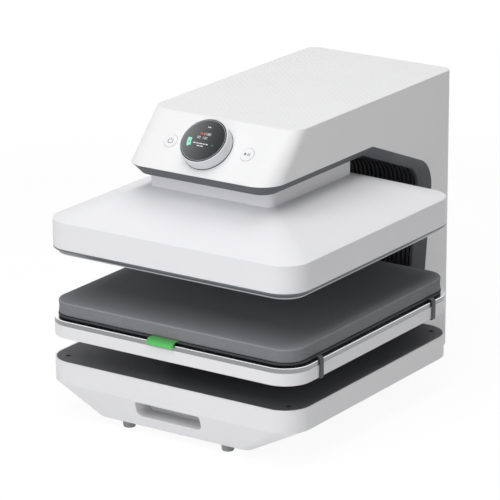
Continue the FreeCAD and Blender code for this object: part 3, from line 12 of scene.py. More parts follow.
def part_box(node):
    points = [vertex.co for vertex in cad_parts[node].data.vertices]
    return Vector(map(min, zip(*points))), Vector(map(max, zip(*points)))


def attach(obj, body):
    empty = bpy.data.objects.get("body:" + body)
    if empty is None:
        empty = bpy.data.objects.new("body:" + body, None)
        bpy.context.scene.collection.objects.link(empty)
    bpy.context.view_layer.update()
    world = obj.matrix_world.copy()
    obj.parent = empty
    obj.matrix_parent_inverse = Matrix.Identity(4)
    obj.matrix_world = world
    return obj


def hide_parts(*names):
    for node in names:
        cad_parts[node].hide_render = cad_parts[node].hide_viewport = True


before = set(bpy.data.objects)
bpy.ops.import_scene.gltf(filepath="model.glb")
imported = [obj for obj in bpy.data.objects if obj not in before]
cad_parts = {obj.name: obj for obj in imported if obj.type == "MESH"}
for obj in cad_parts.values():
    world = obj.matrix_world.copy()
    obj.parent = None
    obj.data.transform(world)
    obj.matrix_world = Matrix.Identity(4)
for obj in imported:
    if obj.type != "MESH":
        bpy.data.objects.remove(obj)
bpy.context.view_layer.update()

# The automatic heat press: its finishes, its soft pieces, the artwork on its
# console, its small fasteners and the studio it stands in. Lengths in metres.

LOG = logging.getLogger("heat_press")
MM = 0.001
MERGE = 1e-6
LEVEL = 1e-5
SHARP = math.radians(40)
PURE = (1.0, 1.0, 1.0, 1.0)

Colour = tuple[float, float, float]
Operand = Union["Signal", float]


def srgb(red: int, green: int, blue: int) -> Colour:
    """Turn a colour read off a screen into a linear one.

    Args:
        red: Red from 0 to 255.
        green: Green from 0 to 255.
        blue: Blue from 0 to 255.

    Returns:
        The linear colour.
    """
    def linear(level: int) -> float:
        """Undo the screen's curve for one channel."""
        share = level / 255
        return share / 12.92 if share <= 0.04045 else ((share + 0.055) / 1.055) ** 2.4

    return linear(red), linear(green), linear(blue)


def shade(colour: Colour, factor: float) -> tuple[float, float, float, float]:
    """Scale a colour's brightness.

    Args:
        colour: The linear colour.
        factor: The share of its brightness to keep.

    Returns:
        The colour with an opaque alpha.
    """
    return (*(min(channel * factor, 1.0) for channel in colour), 1.0)


class Signal:
    """A value inside a finish that adds its own Math nodes when it is used in a sum."""

    def __init__(self, graph: "Graph", socket: bpy.types.NodeSocket) -> None:
        """Wrap one socket of a graph."""
        self.graph = graph
        self.socket = socket

    def _maths(self, operation: str, *values: Operand) -> "Signal":
        """Add one Math node.

        Args:
            operation: The node's operation.
            values: What goes into its sockets, in order.

        Returns:
            The node's result.
        """
        return self.graph.node("ShaderNodeMath", {"operation": operation}, dict(enumerate(values)))

    def __add__(self, other: Operand) -> "Signal":
        """Add."""
        return self._maths("ADD", self, other)

    def __radd__(self, other: float) -> "Signal":
        """Add to a number."""
        return self._maths("ADD", other, self)

    def __sub__(self, other: Operand) -> "Signal":
        """Subtract."""
        return self._maths("SUBTRACT", self, other)

    def __rsub__(self, other: float) -> "Signal":
        """Subtract from a number."""
        return self._maths("SUBTRACT", other, self)

    def __mul__(self, other: Operand) -> "Signal":
        """Multiply."""
        return self._maths("MULTIPLY", self, other)

    def __rmul__(self, other: float) -> "Signal":
        """Multiply a number."""
        return self._maths("MULTIPLY", other, self)

    def __truediv__(self, other: Operand) -> "Signal":
        """Divide."""
        return self._maths("DIVIDE", self, other)

    def __gt__(self, other: Operand) -> "Signal":
        """Give 1 where this is the greater."""
        return self._maths("GREATER_THAN", self, other)

    def __lt__(self, other: Operand) -> "Signal":
        """Give 1 where this is the smaller."""
        return self._maths("LESS_THAN", self, other)

    def __abs__(self) -> "Signal":
        """Drop the sign."""
        return self._maths("ABSOLUTE", self)

    def fraction(self) -> "Signal":
        """Keep the part after the point."""
        return self._maths("FRACT", self)

    def sine(self) -> "Signal":
        """Take the sine."""
        return self._maths("SINE", self)

    def angle_with(self, other: "Signal") -> "Signal":
        """Take the angle whose tangent is this over the other."""
        return self._maths("ARCTAN2", self, other)

    def root(self) -> "Signal":
        """Take the square root."""
        return self._maths("SQRT", self)

    def limited(self) -> "Signal":
        """Keep the value between 0 and 1."""
        return self._maths("MINIMUM", self._maths("MAXIMUM", self, 0.0), 1.0)


Feed = Signal | float | Sequence[float]
Feeds = dict[str | int, Feed]


class Graph:
    """The node tree behind one finish, or behind the studio's air."""

    def __init__(self, owner: bpy.types.Material | bpy.types.World) -> None:
        """Start with an empty tree.

        Args:
            owner: The material or world whose tree this is.
        """
        owner.use_nodes = True
        self.owner = owner
        self.tree = owner.node_tree
        self.tree.nodes.clear()

    @classmethod
    def finish(cls, name: str) -> "Graph":
        """Start a new material."""
        return cls(bpy.data.materials.new(name))

    @property
    def place(self) -> "Signal":
        """Give the piece's own coordinates."""
        return self.node("ShaderNodeTexCoord", output="Object")

    def node(self, kind: str, settings: Mapping[str, object] | None = None,
             feeds: Mapping[str | int, Feed] | None = None, output: str | int = 0) -> Signal:
        """Add a node.

        Args:
            kind: The node's type.
            settings: Its own settings, set first.
            feeds: The values or signals of its sockets.
            output: The name or number of the output to give back.

        Returns:
            The chosen output.
        """
        made = self.tree.nodes.new(kind)
        for key, value in (settings or {}).items():
            setattr(made, key, value)
        for key, value in (feeds or {}).items():
            if isinstance(value, Signal):
                self.tree.links.new(value.socket, made.inputs[key])
            else:
                made.inputs[key].default_value = value
        return Signal(self, made.outputs[output]) if made.outputs else Signal(self, None)

    def axis(self, name: str, where: Signal | None = None) -> Signal:
        """Give one coordinate, by the name X, Y or Z, of the piece's own place or of another."""
        return self.node("ShaderNodeSeparateXYZ", feeds={0: where or self.place}, output=name)

    def vector(self, operation: str, *values: Feed, output: str | int = 0) -> Signal:
        """Add one Vector Math node."""
        return self.node("ShaderNodeVectorMath", {"operation": operation}, dict(enumerate(values)), output)

    def stretched(self, scale: Sequence[float], centre: Sequence[float] = (0.0, 0.0, 0.0),
                  turn: float = 0.0) -> Signal:
        """Scale, centre and turn the piece's coordinates.

        Args:
            scale: The factor along each axis.
            centre: The point that becomes the middle of the pattern.
            turn: The turn about Z in radians.

        Returns:
            The new coordinates.
        """
        moved = self.vector("SUBTRACT", self.place, centre)
        return self.node("ShaderNodeMapping", feeds={
            "Vector": moved, "Scale": scale, "Rotation": (0, 0, turn)})

    def noise(self, scale: float, detail: float = 2.0, where: Signal | None = None) -> Signal:
        """Add soft noise.

        Args:
            scale: How many waves there are in a metre.
            detail: How many finer layers it has.
            where: The coordinates, if not the piece's own.

        Returns:
            The noise, from 0 to 1 with a middle of 0.5.
        """
        return self.node("ShaderNodeTexNoise", feeds={
            "Vector": where or self.place, "Scale": scale, "Detail": detail})

    def cells(self, scale: float, metric: str = "EUCLIDEAN") -> Signal:
        """Add a cell pattern and give the distance inside each cell."""
        return self.node("ShaderNodeTexVoronoi", {"distance": metric}, {
            "Vector": self.place, "Scale": scale}, "Distance")

    def between(self, factor: Operand, low: Feed, high: Feed) -> Signal:
        """Mix two colours.

        Args:
            factor: 0 gives the first colour and 1 the second.
            low: The first colour.
            high: The second colour.

        Returns:
            The mixed colour.
        """
        return self.node("ShaderNodeMix", {"data_type": "RGBA"}, {0: factor, 6: low, 7: high}, 2)

    def toned(self, factor: Operand, colour: Colour, low: float, high: float) -> Signal:
        """Mix two shades of one colour, given as shares of its brightness."""
        return self.between(factor, shade(colour, low), shade(colour, high))

    def soft_edges(self, radius: float) -> Signal:
        """Give normals that round the piece's edges."""
        return self.node("ShaderNodeBevel", {"samples": 6}, {"Radius": radius})

    def relief(self, height: Signal, depth: float, base: Signal | None = None) -> Signal:
        """Raise a pattern off the surface.

        Args:
            height: The pattern, from 0 to 1.
            depth: How high it stands, in metres.
            base: Normals to start from.

        Returns:
            The new normals.
        """
        feeds: Feeds = {"Height": height, "Distance": depth, "Strength": 1.0}
        if base is not None:
            feeds["Normal"] = base
        return self.node("ShaderNodeBump", feeds=feeds)

    def close(self, shader: str, feeds: Mapping[str | int, Feed]) -> bpy.types.Material:
        """Finish the material with its surface shader.

        Args:
            shader: The shader's type.
            feeds: The values or signals of its sockets.

        Returns:
            The material.
        """
        surface = self.node(shader, feeds=feeds)
        self.node("ShaderNodeOutputMaterial", feeds={"Surface": surface})
        return self.owner

    def seen(self) -> "Signal":
        """Tell the camera's own rays from the rest.

        Returns:
            1 where it looks straight, in a mirror or through glass, and 0 elsewhere.
        """
        rays = [self.node("ShaderNodeLightPath", output=f"Is {name} Ray")
                for name in ("Camera", "Glossy", "Transmission")]
        return (rays[0] + rays[1] + rays[2]).limited()


@dataclass(frozen=True)
class Finish:
    """What a surface is made of: its colour, its polish and the softness of its edges."""

    made: ClassVar[dict[str, bpy.types.Material]] = {}

    name: str
    colour: Colour
    roughness: float = 0.5
    metallic: float = 0.0
    edge: float = 0.0
    shine: float = 0.5
    drift: float = 14.0
    handling: float = 90.0

    def feeds(self, graph: Graph) -> Feeds:
        """Give what goes into the surface shader.

        Args:
            graph: The finish's node tree.

        Returns:
            The shader's sockets and what feeds them.
        """
        return {
            "Base Color": graph.toned(graph.noise(self.drift, 3.0), self.colour, 0.97, 1.0),
            "Roughness": self.roughness + (graph.noise(self.handling) - 0.5) * 0.06,
            "Metallic": self.metallic,
            "Specular IOR Level": self.shine,
        }

    def normals(self, graph: Graph, height: Signal, depth: float) -> Signal:
        """Raise a pattern and round the edges where the finish asks for it."""
        return graph.relief(height, depth, graph.soft_edges(self.edge) if self.edge else None)

    def material(self) -> bpy.types.Material:
        """Make the material once.

        Returns:
            The material, or the one already made.
        """
        if self.name not in Finish.made:
            graph = Graph.finish(self.name)
            Finish.made[self.name] = graph.close("ShaderNodeBsdfPrincipled", self.feeds(graph))
        return Finish.made[self.name]


@dataclass(frozen=True)
class Moulding(Finish):
    """Satin moulded plastic with a fine eroded grain."""

    grain: float = 2600.0
    grain_depth: float = 0.012 * MM
    coat: float = 0.0

    def feeds(self, graph: Graph) -> Feeds:
        """Add the grain and a faint drift in tone.

        Args:
            graph: The finish's node tree.

        Returns:
            The shader's sockets and what feeds them.
        """
        feeds = super().feeds(graph)
        grain = graph.noise(self.grain, 2.0)
        feeds["Roughness"] = self.roughness + (grain - 0.5) * 0.10
        feeds["Normal"] = self.normals(graph, grain, self.grain_depth)
        feeds["Coat Weight"] = self.coat
        feeds["Coat Roughness"] = 0.25
        return feeds


@dataclass(frozen=True)
class GripMoulding(Moulding):
    """The tub's moulding, with painted shade deep inside its hand grip."""

    half_width: float = 52.0 * MM
    floor: float = 26.9 * MM
    roof: float = 48.2 * MM
    back: float = -229.2 * MM
    front: float = -246.4352 * MM
    rake: float = 0.324
    depth: float = 26.0 * MM
    height: float = 13.0 * MM
    margin: float = 0.5 * MM
    shade_strength: float = 0.75
    least_shade: float = 0.06

    def feeds(self, graph: Graph) -> Feeds:
        """Paint shade into the colour towards the grip's far lower corner.

        Args:
            graph: The finish's node tree.

        Returns:
            The shader's sockets and what feeds them.
        """
        feeds = super().feeds(graph)
        x, y, z = (graph.axis(name) for name in "XYZ")
        inside = ((y + z * self.rake) > self.front) * (y < self.back + self.margin)
        inside = inside * (abs(x) < self.half_width) * (z > self.floor - self.margin) * (z < self.roof)
        across, up = (self.back - y) * (1 / self.depth), (z - self.floor) * (1 / self.height)
        corner = (1.0 - (across * across + up * up).root()).limited()
        share = corner * self.shade_strength + self.least_shade
        # Painted shade: the colour darkens towards the recess's far lower corner, where the grip lies in
        # shade.
        painted_shade = graph.between(share, feeds["Base Color"], shade(self.colour, 0.5))
        feeds["Base Color"] = graph.between(inside, feeds["Base Color"], painted_shade)
        return feeds


@dataclass(frozen=True)
class GroovedMoulding(Moulding):
    """The housing's moulding, whose top face is cut with diagonal rows of short shallow grooves that hold
    painted shade.
    """

    top: float = 410.9 * MM
    front: float = -124.0 * MM
    turn: float = math.radians(-47)
    pitch: float = 6.7 * MM
    groove: float = 2.0 * MM
    length: float = 16.0 * MM
    cut: float = 0.82
    stagger: float = 0.37
    groove_shade_scale: float = 45.0
    depth: float = 0.15 * MM

    def feeds(self, graph: Graph) -> Feeds:
        """Add the rows of grooves, with patchy painted shade in them, to the top face alone.

        Args:
            graph: The finish's node tree.

        Returns:
            The shader's sockets and what feeds them.
        """
        feeds = super().feeds(graph)
        turned = graph.stretched((1 / self.pitch,) * 3, turn=self.turn)
        across, along = (graph.axis(name, turned) for name in "XY")
        row = across - across.fraction()
        stripe = abs(across.fraction() - 0.5) < self.groove / self.pitch / 2
        dash = (along * (self.pitch / self.length) + row * self.stagger).fraction() < self.cut
        on_top = (graph.axis("Z") > self.top) * (graph.axis("Y") > self.front)
        grooves = stripe * dash * on_top
        # Painted shade inside the grooves, patchy by noise.
        groove_shade = (graph.noise(self.groove_shade_scale, 2.0) * 2.2 - 0.7).limited() * grooves * 0.5
        feeds["Base Color"] = graph.between(groove_shade, feeds["Base Color"], shade(self.colour, 0.86))
        grain = graph.noise(self.grain, 2.0) * 0.06
        feeds["Normal"] = self.normals(graph, grain + (1.0 - grooves), self.depth)
        return feeds


@dataclass(frozen=True)
class DarkPaint(Finish):
    """Matte powder paint with a fine orange peel."""

    peel: float = 1500.0
    peel_depth: float = 0.03 * MM
    flecks: float = 5200.0
    clouds: float = 9.0

    def feeds(self, graph: Graph) -> Feeds:
        """Add the paint's peel and fine flecks.

        Args:
            graph: The finish's node tree.

        Returns:
            The shader's sockets and what feeds them.
        """
        feeds = super().feeds(graph)
        peel = graph.noise(self.peel, 3.0)
        fleck = graph.noise(self.flecks, 1.0) > 0.63
        base = graph.toned(graph.noise(self.clouds, 3.0), self.colour, 0.88, 1.08)
        feeds["Base Color"] = graph.between(fleck * 0.5, base, shade(self.colour, 1.9))
        feeds["Roughness"] = self.roughness + (peel - 0.5) * 0.14
        feeds["Normal"] = self.normals(graph, peel, self.peel_depth)
        return feeds


class Lay(Enum):
    """Which way a brushed metal's fine lines run."""

    X = (30.0, 3200.0, 3200.0)
    Y = (3200.0, 30.0, 3200.0)
    Z = (3200.0, 3200.0, 30.0)
    ROUND = (25.0, 25.0, 5200.0)


@dataclass(frozen=True)
class BrushedMetal(Finish):
    """Bare metal with fine lines and light handling marks."""

    metallic: float = 1.0
    lay: Lay = Lay.X
    line_depth: float = 0.006 * MM
    marks: float = 26.0

    def feeds(self, graph: Graph) -> Feeds:
        """Add the brushed lines.

        Args:
            graph: The finish's node tree.

        Returns:
            The shader's sockets and what feeds them.
        """
        feeds = super().feeds(graph)
        lines = graph.noise(1.0, 3.0, graph.stretched(self.lay.value))
        marks = graph.noise(self.marks, 4.0)
        base = graph.toned(lines, self.colour, 0.86, 1.06)
        feeds["Base Color"] = graph.between(marks * 0.3, base, shade(self.colour, 0.80))
        feeds["Roughness"] = self.roughness + (lines - 0.5) * 0.16 + (marks - 0.5) * 0.08
        feeds["Metallic"] = self.metallic
        feeds["Normal"] = self.normals(graph, lines, self.line_depth)
        return feeds


@dataclass(frozen=True)
class CutEdgeMetal(BrushedMetal):
    """Brushed metal whose upper ledge is cut bright."""

    ledge: float = 138.0 * MM
    bright: Colour = srgb(250, 251, 252)

    def feeds(self, graph: Graph) -> Feeds:
        """Brighten everything above the ledge's height.

        Args:
            graph: The finish's node tree.

        Returns:
            The shader's sockets and what feeds them.
        """
        feeds = super().feeds(graph)
        upper = graph.axis("Z") > self.ledge
        feeds["Base Color"] = graph.between(upper, feeds["Base Color"], shade(self.bright, 1.0))
        feeds["Roughness"] = self.roughness - upper * 0.12
        return feeds


@dataclass(frozen=True)
class LayeredBoard(Moulding):
    """A dark board: a grey upper sheet over a near-black lower layer, whose black is partly painted shade in
    the gap under the board.
    """

    seam: float = 141.2 * MM
    gap_black: Colour = srgb(13, 13, 14)

    def feeds(self, graph: Graph) -> Feeds:
        """Blacken everything below the seam, partly as painted shade in the gap under the board.

        Args:
            graph: The finish's node tree.

        Returns:
            The shader's sockets and what feeds them.
        """
        feeds = super().feeds(graph)
        upper = graph.axis("Z") > self.seam
        # Painted shade, in part: the near-black below the seam darkens the gap under the board.
        feeds["Base Color"] = graph.between(upper, shade(self.gap_black, 1.0), feeds["Base Color"])
        return feeds


@dataclass(frozen=True)
class ScrewThread(BrushedMetal):
    """Ground metal cut with a thread of several starts about an upright line."""

    pitch: float = 4.0 * MM
    starts: int = 4
    ridge_depth: float = 0.6 * MM
    centre: tuple[float, float] = (0.0, 0.0)

    def feeds(self, graph: Graph) -> Feeds:
        """Add the thread as helical ridges, with painted shade in its valleys.

        Args:
            graph: The finish's node tree.

        Returns:
            The shader's sockets and what feeds them.
        """
        feeds = super().feeds(graph)
        moved = graph.stretched((1.0, 1.0, 1.0), (*self.centre, 0.0))
        x, y, z = (graph.axis(name, moved) for name in "XYZ")
        ridge = (z * (math.tau / self.pitch) - y.angle_with(x) * float(self.starts)).sine() * 0.5 + 0.5
        # Painted shade: the thread's valleys are darkened in the colour.
        feeds["Base Color"] = graph.toned(ridge, self.colour, 0.45, 1.0)
        feeds["Normal"] = graph.relief(ridge, self.ridge_depth)
        return feeds


@dataclass(frozen=True)
class PadCloth(Finish):
    """Dense heat-proof foam with a dry, speckled skin and a painted highlight along its upper edge."""

    pores: float = 2300.0
    pore_depth: float = 0.22 * MM
    specks: float = 1500.0
    clouds: float = 11.0
    ridge: float = 161.4 * MM
    reach: float = 1.5 * MM

    def feeds(self, graph: Graph) -> Feeds:
        """Add pores, pale specks, a painted highlight on the upper edge and a dusty sheen.

        Args:
            graph: The finish's node tree.

        Returns:
            The shader's sockets and what feeds them.
        """
        pores = graph.noise(self.pores, 4.0)
        specks = (graph.noise(self.specks, 1.0) - 0.60).limited() * 6.0
        base = graph.toned(graph.noise(self.clouds, 4.0), self.colour, 0.90, 1.10)
        # Painted highlight along the pad's upper edge.
        edge_highlight = (1.0 - abs(graph.axis("Z") - self.ridge) * (1 / self.reach)).limited()
        base = graph.between(edge_highlight, base, shade(self.colour, 1.5))
        mottled = graph.between(pores * 0.55, base, shade(self.colour, 0.62))
        return {
            "Base Color": graph.between(specks.limited() * 0.7, mottled, shade(self.colour, 2.3)),
            "Roughness": self.roughness + (pores - 0.5) * 0.12,
            "Normal": graph.relief(pores + specks * 0.3, self.pore_depth),
            "Specular IOR Level": self.shine,
        }


@dataclass(frozen=True)
class Ribbon(Finish):
    """A tightly woven ribbon, with painted shade towards its root under the pad."""

    rib: float = 0.55 * MM
    weave_depth: float = 0.05 * MM
    clouds: float = 160.0
    root: float = 143.5 * MM
    fade: float = 6.0 * MM
    sheen: float = 0.2

    def feeds(self, graph: Graph) -> Feeds:
        """Add the ribs across the ribbon, the warp along it and the painted shade near its root.

        Args:
            graph: The finish's node tree.

        Returns:
            The shader's sockets and what feeds them.
        """
        ribs = (graph.axis("Z") * (math.tau / self.rib) + graph.axis("Y") * (math.tau / self.rib)).sine()
        warp = (graph.axis("X") * (math.tau / (self.rib * 0.8))).sine()
        weave = (ribs * warp) * 0.5 + 0.5
        base = graph.toned(graph.noise(self.clouds, 2.0), self.colour, 0.93, 1.06)
        # Painted shade: the ribbon darkens towards its root, where the pad shades it.
        dark = (1.0 - (self.root - graph.axis("Z")) * (1 / self.fade)).limited()
        base = graph.between(dark, base, shade(self.colour, 0.5))
        return {
            "Base Color": graph.between(weave * 0.22, base, shade(self.colour, 0.70)),
            "Roughness": self.roughness + (weave - 0.5) * 0.10,
            "Normal": graph.relief(weave, self.weave_depth),
            "Sheen Weight": self.sheen,
        }


@dataclass(frozen=True)
class Dusty(Finish):
    """Matte rubber or ink, cloudy in tone and finely grained; each pattern is a scale and a detail."""

    clouds: tuple[float, float] = (120.0, 4.0)
    tones: tuple[float, float] = (0.8, 1.25)
    swing: float = 0.18
    grain: tuple[float, float] = (3800.0, 2.0)
    grain_depth: float = 0.03 * MM

    def feeds(self, graph: Graph) -> Feeds:
        """Add the clouds and the grain.

        Args:
            graph: The finish's node tree.

        Returns:
            The shader's sockets and what feeds them.
        """
        clouds = graph.noise(*self.clouds)
        return {
            "Base Color": graph.toned(clouds, self.colour, *self.tones),
            "Roughness": self.roughness + (clouds - 0.5) * self.swing,
            "Normal": self.normals(graph, graph.noise(*self.grain), self.grain_depth),
        }


@dataclass(frozen=True)
class DarkGlass(Finish):
    """Dark glass with a painted reflection, brighter at the left, over a display with a black margin."""

    reflection_colour: Colour = srgb(122, 124, 127)
    film: float = 70.0
    half: float = 32.6 * MM
    margin: float = 31.3 * MM
    centre: tuple[float, float, float] = (0.0, 0.0, 0.0)

    def feeds(self, graph: Graph) -> Feeds:
        """Add the painted reflection, the margin and a hardly visible film of handling.

        Args:
            graph: The finish's node tree.

        Returns:
            The shader's sockets and what feeds them.
        """
        film = graph.noise(self.film, 4.0)
        # Painted reflection: the glass's colour brightens towards its left edge.
        left = (0.5 - graph.axis("X") / (2 * self.half)).limited()
        brightened = graph.between(left * left * 0.75 + left * 0.25, shade(self.colour, 1.0), shade(self.reflection_colour, 1.0))
        reach = graph.vector("DISTANCE", graph.place, self.centre, output=1)
        return {
            "Base Color": graph.between(reach > self.margin, brightened, shade(self.colour, 0.3)),
            "Roughness": self.roughness + film * 0.07,
            "Normal": graph.soft_edges(self.edge),
            "Specular IOR Level": self.shine,
        }


@dataclass(frozen=True)
class Glow(Finish):
    """A lit part of the display."""

    strength: float = 0.9
    dots: float = 5200.0

    def feeds(self, graph: Graph) -> Feeds:
        """Light the colour up, with the display's fine dots in it.

        Args:
            graph: The finish's node tree.

        Returns:
            The shader's sockets and what feeds them.
        """
        return {
            "Base Color": shade(self.colour, 0.25),
            "Roughness": self.roughness,
            "Emission Color": graph.toned(graph.cells(self.dots), self.colour, 1.0, 0.82),
            "Emission Strength": self.strength,
        }


@dataclass(frozen=True)
class GlassBlanket(Finish):
    """Woven glass fibre."""

    thread: float = 1.6 * MM
    weave_depth: float = 0.25 * MM
    fray: float = 900.0
    sheen: float = 0.3

    def feeds(self, graph: Graph) -> Feeds:
        """Add the weave's over and under.

        Args:
            graph: The finish's node tree.

        Returns:
            The shader's sockets and what feeds them.
        """
        warp = (graph.axis("X") * (math.pi / self.thread)).sine()
        weft = (graph.axis("Y") * (math.pi / self.thread)).sine()
        weave = (warp * weft) * 0.5 + 0.5
        fray = graph.noise(self.fray, 4.0)
        return {
            "Base Color": graph.toned(weave * fray, self.colour, 0.72, 1.1),
            "Roughness": self.roughness + (fray - 0.5) * 0.1,
            "Normal": graph.relief(weave + fray * 0.3, self.weave_depth),
            "Sheen Weight": self.sheen,
        }


@dataclass(frozen=True)
class CircuitBoard(Finish):
    """Solder mask over copper tracks."""

    tracks: float = 170.0
    track_depth: float = 0.04 * MM
    pads: float = 330.0
    tin: Colour = (0.62, 0.60, 0.55)

    def feeds(self, graph: Graph) -> Feeds:
        """Add the tracks and a scatter of tinned pads.

        Args:
            graph: The finish's node tree.

        Returns:
            The shader's sockets and what feeds them.
        """
        lines = (graph.cells(self.tracks, "CHEBYCHEV") * 6.0).fraction() < 0.22
        pads = graph.cells(self.pads) < 0.16
        green = graph.toned(lines * 0.5, self.colour, 1.0, 1.9)
        return {
            "Base Color": graph.between(pads, green, shade(self.tin, 1.0)),
            "Metallic": pads * 0.9,
            "Roughness": self.roughness - lines * 0.08,
            "Normal": graph.relief(lines, self.track_depth),
        }


class Finishes:
    """Every finish of the press, by the piece it belongs to."""

    WHITE = Moulding("white_moulding", srgb(243, 243, 245), 0.42, edge=1.0 * MM, coat=0.15)
    TUB = GripMoulding("tub_moulding", srgb(243, 243, 245), 0.42, edge=1.0 * MM, coat=0.15)
    HOUSING = GroovedMoulding("housing_moulding", srgb(245, 245, 246), 0.42, edge=1.0 * MM, coat=0.15)
    COVER = Moulding("cover_moulding", srgb(244, 244, 247), 0.46, edge=1.6 * MM)
    KNOB = Moulding("knob_satin", srgb(226, 227, 230), 0.32, edge=0.5 * MM, coat=0.4)
    BUTTON = Moulding("button_satin", srgb(243, 243, 245), 0.40, edge=0.4 * MM)
    LINER = Moulding("liner_grey", srgb(92, 94, 97), 0.52, edge=0.6 * MM)
    TRIM = Moulding("platen_trim_grey", srgb(104, 106, 109), 0.40, edge=0.6 * MM, coat=0.2)
    SLEEVE = Moulding("inner_sleeve_dark", srgb(58, 59, 61), 0.55)
    RIBS = Moulding("throat_rib_black", srgb(66, 66, 70), 0.45, edge=0.5 * MM)
    COLLAR = Moulding("knob_collar_dark", srgb(60, 61, 63), 0.5)
    BLACK = Moulding("black_moulding", srgb(38, 38, 40), 0.5, edge=0.4 * MM)
    NYLON = Moulding("white_nylon", srgb(226, 222, 206), 0.45)
    BOARD = LayeredBoard("pad_board_layers", srgb(74, 75, 78), 0.62, edge=0.3 * MM, shine=0.12)
    BASE_PLATE = DarkPaint("base_plate_paint", srgb(70, 71, 74), 0.55, edge=0.6 * MM)
    CAST = DarkPaint("pedestal_paint", srgb(66, 67, 69), 0.6, edge=1.5 * MM)
    REAR = DarkPaint("rear_cover_paint", srgb(226, 226, 228), 0.5, edge=0.4 * MM)
    CLIP = DarkPaint("clip_paint", srgb(70, 72, 75), 0.5, edge=0.3 * MM)
    MOTOR = DarkPaint("motor_enamel", srgb(64, 65, 70), 0.45, edge=0.5 * MM)
    SCREW = BrushedMetal("black_screw", srgb(58, 58, 60), 0.42, edge=0.15 * MM)
    RIM = CutEdgeMetal("cut_aluminium", srgb(158, 159, 161), 0.34, edge=0.5 * MM, lay=Lay.ROUND)
    HEAT = BrushedMetal("heat_plate_coating", srgb(174, 175, 178), 0.30, edge=0.3 * MM, lay=Lay.X)
    STEEL = BrushedMetal("brushed_steel", srgb(168, 170, 174), 0.40, edge=0.5 * MM, lay=Lay.Y)
    GROUND = BrushedMetal("ground_steel", srgb(205, 206, 209), 0.20, edge=0.3 * MM, lay=Lay.Z)
    BRASS = BrushedMetal("machined_brass", srgb(205, 172, 96), 0.28, edge=0.2 * MM, lay=Lay.ROUND)
    HEATER = BrushedMetal("oxidised_tube", srgb(146, 136, 128), 0.5, lay=Lay.Y)
    CASE = BrushedMetal("supply_case_sheet", srgb(196, 198, 200), 0.35, edge=0.4 * MM, lay=Lay.X)
    LEAD = ScrewThread("lead_screw_thread", srgb(200, 201, 204), 0.24, centre=(0.0, -62.475 * MM))
    PAD = PadCloth("pad_foam", srgb(137, 138, 141), 0.86, shine=0.3)
    TAB = Ribbon("tab_ribbon", srgb(98, 206, 108), 0.62)
    FOOT = Dusty("dark_rubber", srgb(150, 152, 154), 0.62, edge=0.6 * MM)
    GLASS = DarkGlass("black_glass", srgb(36, 37, 39), 0.16, edge=0.4 * MM, shine=0.25,
                      centre=(0.0, -173.08 * MM, 392.69 * MM))
    GLOW_WHITE = Glow("glow_white", srgb(226, 228, 230), 0.4)
    GLOW_RED = Glow("glow_red", srgb(236, 96, 70), 0.4)
    GLOW_MINT = Glow("glow_mint", srgb(150, 232, 204), 0.4)
    GLOW_TEAL = Glow("glow_teal", srgb(58, 150, 128), 0.4)
    INK = Dusty("button_ink", srgb(104, 106, 110), 0.55, clouds=(2600.0, 2.0), tones=(0.9, 1.12), swing=0.1,
                grain=(2600.0, 2.0), grain_depth=0.01 * MM)
    GLASS_LINE = BrushedMetal("glass_line", srgb(214, 216, 219), 0.25)
    BLANKET = GlassBlanket("glass_weave", srgb(214, 208, 190), 0.8)
    CIRCUIT = CircuitBoard("green_laminate", srgb(30, 92, 52), 0.42)


def shown(name: str, data: bpy.types.ID) -> bpy.types.Object:
    """Put some data in the scene as an object.

    Args:
        name: The object's name.
        data: Its mesh, curve, lamp or camera.

    Returns:
        The new object.
    """
    made = bpy.data.objects.new(name, data)
    bpy.context.scene.collection.objects.link(made)
    return made


def dress(finish: Finish, *nodes: str) -> None:
    """Give solid pieces of the frame their finish.

    Args:
        finish: The finish.
        nodes: The pieces' names.
    """
    for node in nodes:
        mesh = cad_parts[node].data
        mesh.materials.clear()
        mesh.materials.append(finish.material())
        LOG.info("%s is finished in %s", node, finish.name)


@dataclass
class Maker:
    """Turns a modelled mesh into a piece that rides on a body."""

    body: str = "press_frame"

    def piece(self, mesh: bmesh.types.BMesh, name: str, finish: Finish, slot: str,
              body: str | None = None, smooth: bool = True) -> bpy.types.Object:
        """Close a mesh and put it in the scene.

        Args:
            mesh: The modelled mesh, in place; it is freed.
            name: The piece's name.
            finish: What it is made of.
            slot: The name of a material slot; not used.
            body: The body that carries it, if not the usual one.
            smooth: Whether gentle angles are shaded smooth.

        Returns:
            The new object.
        """
        bmesh.ops.remove_doubles(mesh, verts=mesh.verts, dist=MERGE)
        bmesh.ops.recalc_face_normals(mesh, faces=mesh.faces)
        data = bpy.data.meshes.new(name)
        mesh.to_mesh(data)
        mesh.free()
        made = shown(name, data)
        data.materials.append(finish.material())
        if smooth:
            data.shade_smooth()
            data.set_sharp_from_angle(angle=SHARP)
        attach(made, body or self.body)
        LOG.info("%s has %d faces", name, len(data.polygons))
        return made


def bevel(mesh: bmesh.types.BMesh, edges: Sequence[bmesh.types.BMEdge], width: float, steps: int) -> None:
    """Round chosen edges.

    Args:
        mesh: The mesh.
        edges: The edges.
        width: How far the rounding reaches.
        steps: How many faces go round it.
    """
    bmesh.ops.bevel(mesh, geom=list(edges), offset=width, offset_type="OFFSET", segments=steps,
                    profile=0.5, affect="EDGES", material=-1, clamp_overlap=True)


def parts(mesh: bmesh.types.BMesh) -> list[bmesh.types.BMVert | bmesh.types.BMEdge | bmesh.types.BMFace]:
    """Give all that a mesh is made of."""
    return [*mesh.verts, *mesh.edges, *mesh.faces]


def new_verts(made: Mapping[str, Sequence[object]]) -> list[bmesh.types.BMVert]:
    """Pick the vertices out of what an operator made."""
    return [item for item in made["geom"] if isinstance(item, bmesh.types.BMVert)]


